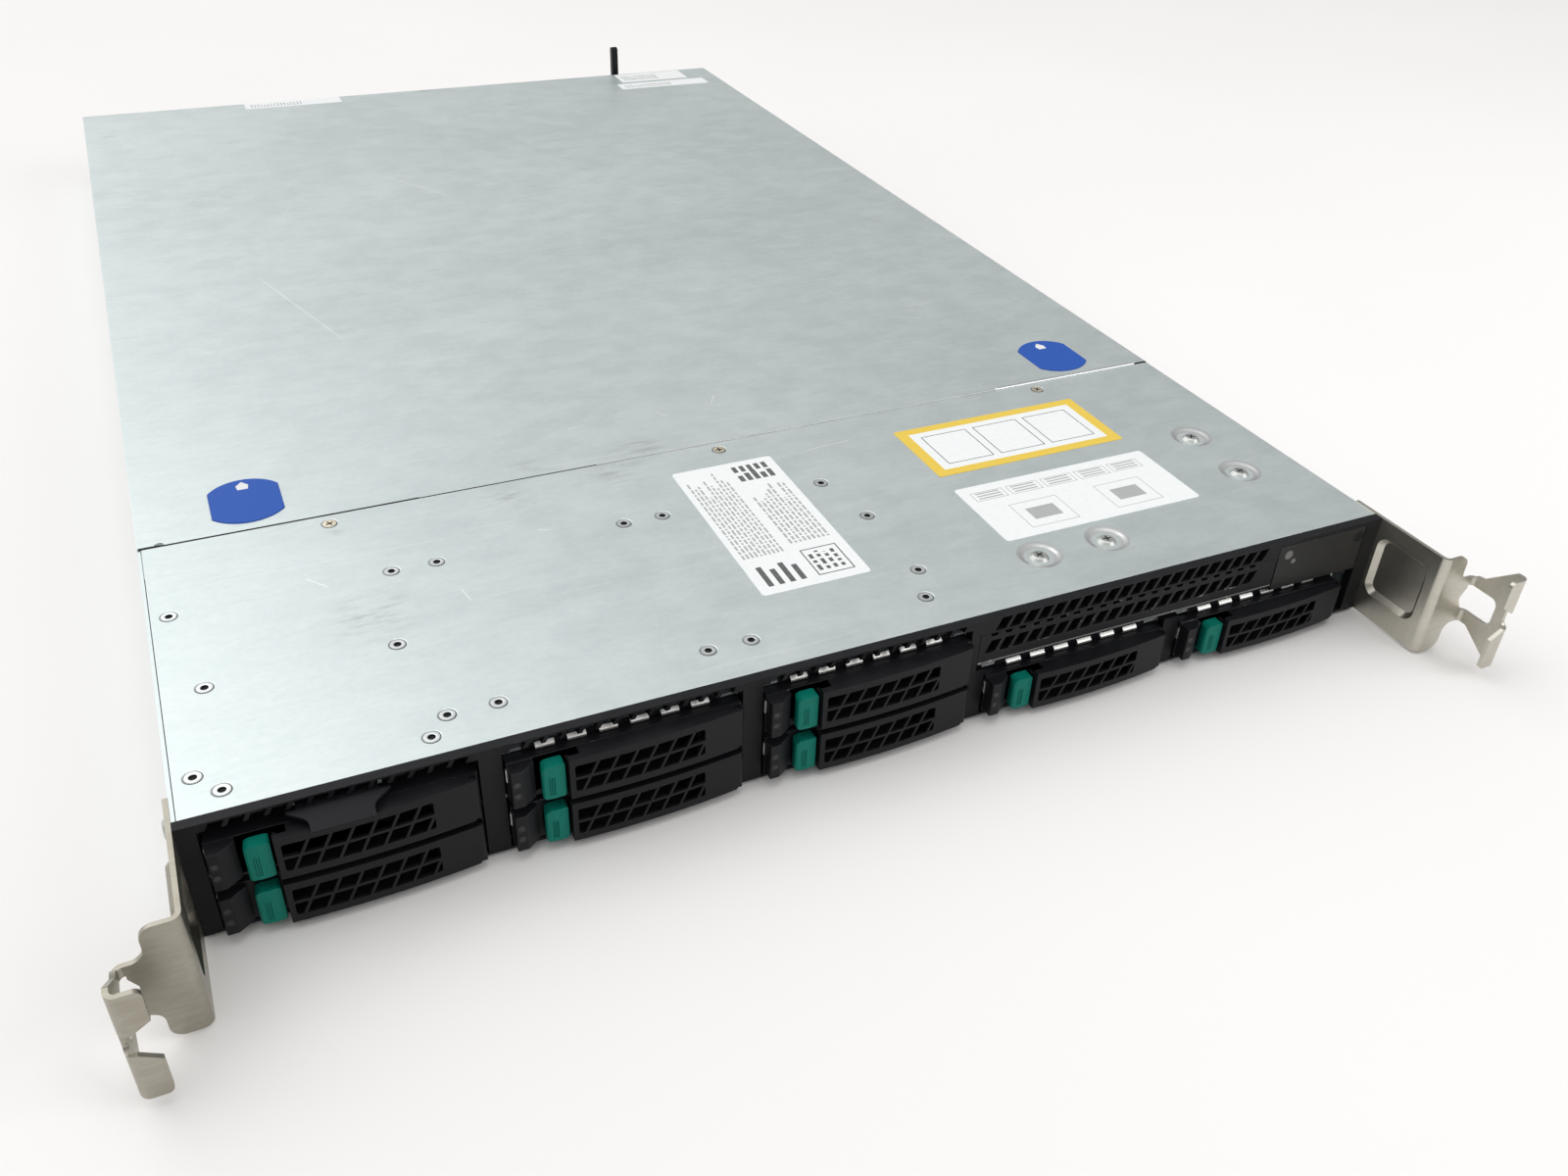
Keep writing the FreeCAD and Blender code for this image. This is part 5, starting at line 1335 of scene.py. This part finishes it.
@dataclass
class Sticker:
    """One sticker with generic print, in millimetres apart from the level that it lies on.

    Its box is its left and right edge, and its near and far edge from the front edge of the cover.
    """

    name: str
    body: str
    box: Box
    corner: float = 1.5
    thickness: float = 0.12
    finish: Finish = Finish.PAPER
    level: float = COVER_TOP
    slot: str = "galvanised_sheet"
    lift: float = 0.01
    ink_sink: float = 0.005
    ink_rise: float = 0.015
    ragged: float = 0.3
    inks: defaultdict[Finish, Work] = field(default_factory=lambda: defaultdict(Work))

    def corners(self, share: Box) -> list[Point]:
        """Find the corners of a part of the sticker.

        Args:
            share: The part's u0, u1, v0 and v1, in shares of the width and the length.

        Returns:
            The corners in metres.
        """
        x0, x1, y0, y1 = self.box
        u0, u1, v0, v1 = share
        return [on_cover(x0 + (x1 - x0) * u, y0 + (y1 - y0) * v)
                for u, v in ((u0, v0), (u1, v0), (u1, v1), (u0, v1))]

    def base(self) -> None:
        """Make the sheet."""
        work = Work()
        top = self.level + self.thickness * MM
        work.plate(self.corners((0, 1, 0, 1)), self.level + self.lift * MM, top, self.corner * MM)
        work.piece(self.name, (self.finish,), self.body, self.slot)

    def bar(self, ink: Finish, share: Box) -> None:
        """Print a plain bar over a part of the sticker."""
        top = self.level + self.thickness * MM
        self.inks[ink].plate(self.corners(share), top - self.ink_sink * MM, top + self.ink_rise * MM)

    def bars(self, ink: Finish, row: Row) -> None:
        """Print a row of plain bars."""
        for share in row.boxes():
            self.bar(ink, share)

    def frames(self, ink: Finish, row: Row, line: float) -> None:
        """Print a row of empty boxes.

        Args:
            ink: The print's finish.
            row: The boxes.
            line: Width of their lines in millimetres.
        """
        x0, x1, y0, y1 = self.box
        across, along = line / (x1 - x0), line / (y1 - y0)
        for u0, u1, v0, v1 in row.boxes():
            for side in ((u0, u1, v0, v0 + along), (u0, u1, v1 - along, v1),
                         (u0, u0 + across, v0 + along, v1 - along),
                         (u1 - across, u1, v0 + along, v1 - along)):
                self.bar(ink, side)

    def lines(self, ink: Finish, share: Box, count: int, seed: int, dash: Point = (0.010, 0.045)) -> None:
        """Print lines of short dashes along the sticker's length, as small print looks from afar.

        Args:
            ink: The print's finish.
            share: The part of the sticker that the lines fill.
            count: Number of lines.
            seed: Seed of the dashes' lengths.
            dash: The shortest and longest dash, as shares of the length.
        """
        draw = random.Random(seed)
        u0, u1, v0, v1 = share
        step = (u1 - u0) / count
        for k in range(count):
            left, v = u0 + step * k, v0
            end = v1 - draw.uniform(0.0, self.ragged) * (v1 - v0)
            while v < end:
                length = draw.uniform(*dash)
                self.bar(ink, (left, left + step / 2, v, min(v + length, end)))
                v += length + dash[0]

    def close(self) -> None:
        """Turn the print into pieces."""
        for ink, work in self.inks.items():
            work.piece(f"{self.name}_{ink.value.name}", (ink,), self.body, self.slot)


@dataclass
class Stickers:
    """The stickers on both covers: where they lie, in millimetres, and their marks, in shares of each."""

    data_box: Box = (-25.3, 17.0, 37.5, 127.0)
    left_lines: Box = (0.06, 0.46, 0.26, 0.95)
    right_lines: Box = (0.54, 0.94, 0.30, 0.78)
    tall_blocks: Row = Row(5, 0.56, 0.075, 0.05, 0.83, 0.88, 0.015, 3)
    low_blocks: Row = Row(5, 0.56, 0.075, 0.045, 0.91, 0.96)
    broad_bars: Row = Row(4, 0.10, 0.1, 0.05, 0.05, 0.19, -0.03, 2)
    code_frame: Row = Row(1, 0.56, 0.0, 0.34, 0.05, 0.24)
    code_dots: Box = (0.60, 0.88, 0.08, 0.22)
    code_dash: Point = (0.015, 0.04)
    code_line: float = 0.5
    bordered_box: Box = (73.4, 162.4, 86.6, 126.0)
    bordered_corner: float = 0.8
    white_field: Box = (0.055, 0.945, 0.11, 0.89)
    field_boxes: Row = Row(3, 0.10, 0.28, 0.24, 0.2, 0.8)
    field_line: float = 0.35
    picture_box: Box = (73.0, 162.5, 36.0, 75.5)
    small_boxes: Row = Row(5, 0.05, 0.18, 0.16, 0.72, 0.88)
    small_bars: tuple[Row, ...] = tuple(
        Row(5, 0.07, 0.18, 0.12, 0.75 + 0.045 * n, 0.77 + 0.045 * n) for n in range(3))
    large_boxes: Row = Row(2, 0.16, 0.44, 0.24, 0.12, 0.56)
    large_bars: Row = Row(2, 0.21, 0.44, 0.14, 0.24, 0.44)
    picture_line: float = 0.3
    strips: tuple[tuple[str, Box], ...] = (
        ("rear_strip_left", (-118.5, -55.3, 689.0, 702.5)),
        ("rear_strip_right", (146.0, 197.0, 680.0, 701.5)),
        ("rear_strip_thin", (140.0, 207.0, 662.0, 676.0)))
    strip_corner: float = 0.6
    strip_lines: Box = (0.06, 0.60, 0.2, 0.8)
    strip_dash: Point = (0.08, 0.3)

    def build(self) -> None:
        """Make them all."""
        self.data_sticker()
        self.bordered_sticker()
        self.picture_sticker()
        for name, box in self.strips:
            strip = Sticker(name, "rear_cover", box, self.strip_corner)
            strip.base()
            strip.lines(Finish.PALE_INK, self.strip_lines, count=16, seed=11, dash=self.strip_dash)
            strip.close()

    def data_sticker(self) -> None:
        """Make the long white sticker with lines of dashes and a few blocks in place of print."""
        sticker = Sticker("data_sticker", "chassis", self.data_box)
        sticker.base()
        sticker.lines(Finish.PALE_INK, self.left_lines, count=10, seed=3)
        sticker.lines(Finish.PALE_INK, self.right_lines, count=9, seed=5)
        for row in (self.tall_blocks, self.low_blocks, self.broad_bars):
            sticker.bars(Finish.INK, row)
        sticker.frames(Finish.INK, self.code_frame, self.code_line)
        sticker.lines(Finish.INK, self.code_dots, count=4, seed=8, dash=self.code_dash)
        sticker.close()

    def bordered_sticker(self) -> None:
        """Make the yellow sticker: a white field with three empty boxes."""
        sticker = Sticker("bordered_sticker", "chassis", self.bordered_box, self.bordered_corner,
                          finish=Finish.YELLOW)
        sticker.base()
        sticker.bar(Finish.PAPER, self.white_field)
        sticker.frames(Finish.INK, self.field_boxes, self.field_line)
        sticker.close()

    def picture_sticker(self) -> None:
        """Make the wide white sticker: a row of small boxes over two large ones."""
        sticker = Sticker("picture_sticker", "chassis", self.picture_box)
        sticker.base()
        for row in (self.small_boxes, self.large_boxes):
            sticker.frames(Finish.PALE_INK, row, self.picture_line)
        for row in (*self.small_bars, self.large_bars):
            sticker.bars(Finish.PALE_INK, row)
        sticker.close()


@dataclass
class Inside:
    """What the covers hide: boards, memory, heatsinks, fans, drives and the supply.

    Chips have x, y, side and height, rows of capacitors x, y, count and pitch, all in millimetres. The
    drive labels' sizes are in millimetres too, and their marks in shares of each label.
    """

    solids: Solids
    board_top: float = 7.8 * MM
    solder: float = 0.1 * MM
    module_gap: float = 4.0 * MM
    module_half: float = 0.7 * MM
    chip_count: int = 9
    chip_pitch: float = 14.0 * MM
    chip_start: float = 5.0 * MM
    chip_size: Place = (1.0 * MM, 10.5 * MM, 9.0 * MM)
    chip_drop: float = 5.0 * MM
    chip_edge: float = 0.3 * MM
    flat_chips: tuple[Box, ...] = (
        (-100, 190, 24, 2.4), (14, 205, 18, 1.8), (-8, 262, 14, 1.6), (-62, 288, 20, 2.0),
        (-128, 262, 12, 1.6), (30, 300, 10, 1.4), (-150, 305, 14, 1.6))
    can_rows: tuple[tuple[float, float, int, float], ...] = (
        (-186, 146, 7, 11.5), (-62, 146, 8, 10.5), (-186, 160, 5, 11.5), (-30, 160, 4, 10.5),
        (20, 232, 3, 11.0))
    can_radius: float = 4.0 * MM
    can_height: float = 9.5 * MM
    can_sides: int = 20
    can_rim: float = 0.5 * MM
    can_dent: float = 0.3 * MM
    slot_places: Point = (-196.0 * MM, -176.0 * MM)
    slot_run: Point = (196.0 * MM, 285.0 * MM)
    slot_half: float = 3.7 * MM
    slot_height: float = 11.0 * MM
    slot_wall: float = 2.6 * MM
    slot_draft: float = 0.05 * MM
    slot_depth: float = 7.0 * MM
    sink_box: Box = (-62.0, -26.0, 196.0, 236.0)
    sink_foot: float = 4.0 * MM
    fin_count: int = 9
    fin_width: float = 1.2 * MM
    fin_root: float = 0.4 * MM
    fin_height: float = 9.0 * MM
    label_margins: Place = (9.0, 14.0, 26.0)
    label_corner: float = 2.0
    label_sheet: float = 0.06
    label_lines: Box = (0.08, 0.55, 0.10, 0.60)
    line_dash: Point = (0.02, 0.09)
    label_block: Box = (0.62, 0.92, 0.12, 0.30)
    label_code: Box = (0.10, 0.90, 0.74, 0.90)
    code_dash: Point = (0.1, 0.2)

    def build(self) -> None:
        """Paint every inner node and fit the small parts on the boards and drives."""
        plain = {"drive_backplane": Finish.BOARD, "motherboard": Finish.BOARD,
                 "memory_modules": Finish.MEMORY, "heatsinks": Finish.SINK, "air_duct": Finish.BLACK,
                 "fan_housings": Finish.FAN_BLACK, "drive_cage": Finish.CASE_SHEET,
                 "rear_io_ports": Finish.SOCKET}
        for n in range(1, FAN_COUNT + 1):
            plain[f"fan_rotor_{n}"] = Finish.FAN_BLACK
        for n in range(1, BAY_COUNT + 1):
            plain[f"hard_drive_{n}"] = Finish.CASTING
            self.drive_label(n)
        for node, finish in plain.items():
            self.solids.paint(node, finish)
        self.memory_chips()
        self.board_parts()
        self.board_sink()

    def module_places(self) -> list[float]:
        """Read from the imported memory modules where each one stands.

        Returns:
            The X of each one's middle.
        """
        mesh = self.solids.frame["nodes"]["memory_modules"].data
        groups: list[list[float]] = []
        for x in sorted(vertex.co.x for vertex in mesh.vertices):
            if not groups or x - groups[-1][-1] > self.module_gap:
                groups.append([])
            groups[-1].append(x)
        return [(group[0] + group[-1]) / 2 for group in groups]

    def memory_chips(self) -> None:
        """Solder a row of chips to both sides of each memory module."""
        work = Work()
        low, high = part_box("memory_modules")
        thick, long, tall = self.chip_size
        top = high[2] - self.chip_drop
        for x in self.module_places():
            for side in (-1, 1):
                near = x + side * (self.module_half - self.solder)
                far = x + side * (self.module_half + thick)
                for k in range(self.chip_count):
                    y = low[1] + self.chip_start + self.chip_pitch * k
                    work.block((min(near, far), y, top - tall), (max(near, far), y + long, top))
        work.piece("memory_chips", (Finish.CHIP,), "chassis", "black_plastic")

    def board_parts(self) -> None:
        """Fit the chips, capacitors and card slots of the main board."""
        chips, cans, slots = Work(), Work(), Work()
        base = self.board_top - self.solder
        for x, y, size, height in self.flat_chips:
            half = size / 2
            chips.block(((x - half) * MM, (y - half) * MM, base),
                        ((x + half) * MM, (y + half) * MM, self.board_top + height * MM), self.chip_edge)
        for x, y, count, pitch in self.can_rows:
            for k in range(count):
                foot = ((x + pitch * k) * MM, y * MM, base)
                verts = cans.cone(foot, self.can_radius, self.can_radius, self.can_height, self.can_sides)
                cans.inset(cans.highest(cans.faces_of(verts)), self.can_rim, -self.can_dent)
        near, far = self.slot_run
        for x in self.slot_places:
            faces = slots.block((x - self.slot_half, near, base),
                                (x + self.slot_half, far, self.board_top + self.slot_height))
            cap = slots.highest(faces)
            slots.inset(cap, self.slot_wall, 0.0)
            slots.inset(cap, self.slot_draft, -self.slot_depth)
        chips.piece("board_chips", (Finish.CHIP,), "chassis", "black_plastic")
        cans.piece("board_capacitors", (Finish.SINK,), "chassis", "sink_aluminium")
        slots.piece("board_card_slots", (Finish.CHIP,), "chassis", "black_plastic")

    def board_sink(self) -> None:
        """Fit the small finned sink of the board's controller."""
        work = Work()
        x0, x1, y0, y1 = (v * MM for v in self.sink_box)
        foot = self.board_top + self.sink_foot
        work.block((x0, y0, self.board_top - self.solder), (x1, y1, foot), self.chip_edge)
        step = (x1 - x0 - self.fin_width) / (self.fin_count - 1)
        for k in range(self.fin_count):
            left = x0 + step * k
            work.block((left, y0, foot - self.fin_root), (left + self.fin_width, y1, foot + self.fin_height))
        work.piece("board_sink", (Finish.SINK,), "chassis", "sink_aluminium")

    def drive_label(self, n: int) -> None:
        """Lay a label with generic print on a drive's lid.

        Args:
            n: The bay's number.
        """
        node = f"hard_drive_{n}"
        low, high = (Vector(corner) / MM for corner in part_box(node))
        side, near, far = self.label_margins
        front = FRONT / MM
        box = (low.x + side, high.x - side, low.y + near - front, high.y - far - front)
        label = Sticker(f"drive_label_{n}", self.solids.body_of(node), box, self.label_corner,
                        self.label_sheet, level=high.z * MM, slot=self.solids.slot_of(node))
        label.base()
        label.lines(Finish.PALE_INK, self.label_lines, count=9, seed=20 + n, dash=self.line_dash)
        label.bar(Finish.INK, self.label_block)
        label.lines(Finish.INK, self.label_code, count=24, seed=40, dash=self.code_dash)
        label.close()


@dataclass(frozen=True)
class Lamp:
    """A square soft lamp: where it hangs, the point it faces, its side and its power in watts."""

    name: str
    place: Place
    aim: Place
    size: float
    power: float

    def hang(self) -> None:
        """Hang the lamp."""
        data = bpy.data.lights.new(self.name, "AREA")
        data.shape = "SQUARE"
        data.size = self.size
        data.energy = self.power
        lamp = bpy.data.objects.new(self.name, data)
        lamp.location = self.place
        lamp.rotation_euler = (Vector(self.aim) - Vector(self.place)).to_track_quat("-Z", "Y").to_euler()
        bpy.context.scene.collection.objects.link(lamp)


@dataclass
class Studio:
    """The floor, the light and the camera, with the camera's turn in degrees."""

    lens: float = 31.05
    sensor: float = 36.0
    clip: Point = (0.01, 50.0)
    eye: Place = (-0.18619, -0.65950, 0.31206)
    turn: Place = (55.175, -1.979, -24.643)
    floor_size: float = 12.0
    floor_drop: float = 0.4 * MM
    floor_dull: Colour = (0.915, 0.897, 0.885)
    floor_pale: Colour = (0.935, 0.917, 0.905)
    floor_clouds: Mottle = Mottle((2, 2, 2), (0.3, 0.7), detail=2.0, grit=0.5)
    floor_roughness: float = 0.9
    floor_specular: float = 0.1
    sky_strength: float = 0.85
    sky_foot: float = 0.55
    high_span: Point = (0.0, 0.85)
    right_span: Point = (-0.25, 0.75)
    right_loss: float = 0.42
    front_span: Point = (0.0, 0.7)
    front_loss: float = 0.55
    left_span: Point = (-0.1, 0.7)
    left_loss: float = 0.6
    backdrop: Colour = (1.1, 1.09, 1.08)
    lamps: tuple[Lamp, ...] = (
        Lamp("window_panel", (-2.4, 2.25, 2.9), (-0.1, -0.1, 0.0), 5.8, 112.0),
        Lamp("ceiling_panel", (0.1, -0.5, 2.4), (0.0, -0.1, 0.0), 1.0, 7.0),
        Lamp("front_panel", (1.5, -1.5, 1.15), (0.0, -0.35, 0.0), 1.4, 13.0))

    def build(self) -> None:
        """Make the studio."""
        self.floor()
        self.sky()
        for lamp in self.lamps:
            lamp.hang()
        self.camera()

    def camera(self) -> None:
        """Set the camera where the photograph was taken."""
        data = bpy.data.cameras.new("viewpoint")
        data.sensor_fit = "HORIZONTAL"
        data.sensor_width = self.sensor
        data.lens = self.lens
        data.clip_start, data.clip_end = self.clip
        camera = bpy.data.objects.new("viewpoint", data)
        camera.location = self.eye
        camera.rotation_euler = Euler([math.radians(a) for a in self.turn], "XYZ")
        bpy.context.scene.collection.objects.link(camera)
        bpy.context.scene.camera = camera

    def floor(self) -> None:
        """Lay a pale floor under the case."""
        bm = bmesh.new()
        bmesh.ops.create_grid(bm, x_segments=1, y_segments=1, size=self.floor_size / 2)
        bmesh.ops.translate(bm, vec=(0, 0, -self.floor_drop), verts=bm.verts)
        mesh = bpy.data.meshes.new("floor")
        bm.to_mesh(mesh)
        bm.free()
        tree = Tree(bpy.data.materials.new("pale_floor"))
        colour = tree.mix(self.floor_clouds.mask(tree), self.floor_dull, self.floor_pale)
        mesh.materials.append(tree.done(Base_Color=colour, Roughness=self.floor_roughness,
                                        Specular_IOR_Level=self.floor_specular))
        floor = bpy.data.objects.new("floor", mesh)
        bpy.context.scene.collection.objects.link(floor)

    def sky(self) -> None:
        """Light the scene from all round: bright overhead, dimmer to both sides and low in front."""
        world = bpy.data.worlds.new("studio_sky")
        bpy.context.scene.world = world
        tree = Tree(world)
        x, y, z = tree.axes("Generated")
        high = z.ramp(*self.high_span)
        right = x.ramp(*self.right_span)
        ahead = (0 - y).ramp(*self.front_span) * (1 - high)
        left = (0 - x).ramp(*self.left_span) * (1 - high)
        shade = (self.sky_foot + high * (1 - self.sky_foot)) * (1 - right * self.right_loss)
        shade = shade * (1 - ahead * self.front_loss) * (1 - left * self.left_loss)
        seen = tree.node("ShaderNodeLightPath", output="Is Camera Ray")
        colour = tree.mix(seen, tree.mix(shade, grey(0.0), grey(1.0)), self.backdrop)
        sky = tree.node("ShaderNodeBackground", {}, {"Color": colour, "Strength": self.sky_strength})
        tree.close(sky, "ShaderNodeOutputWorld")


def main() -> None:
    """Build the server's looks and the studio."""
    logging.basicConfig(level=logging.INFO, format="%(name)s %(message)s")
    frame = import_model()
    bpy.context.scene.view_settings.view_transform = "Standard"
    solids = Solids(frame)
    Inside(solids).build()
    Case(solids).build()
    Screws().build()
    RearFittings(solids).build()
    CoverMarks().build()
    Face(solids).build()
    Bays(solids).build()
    Stickers().build()
    Studio().build()


if __name__ == "__main__":
    main()
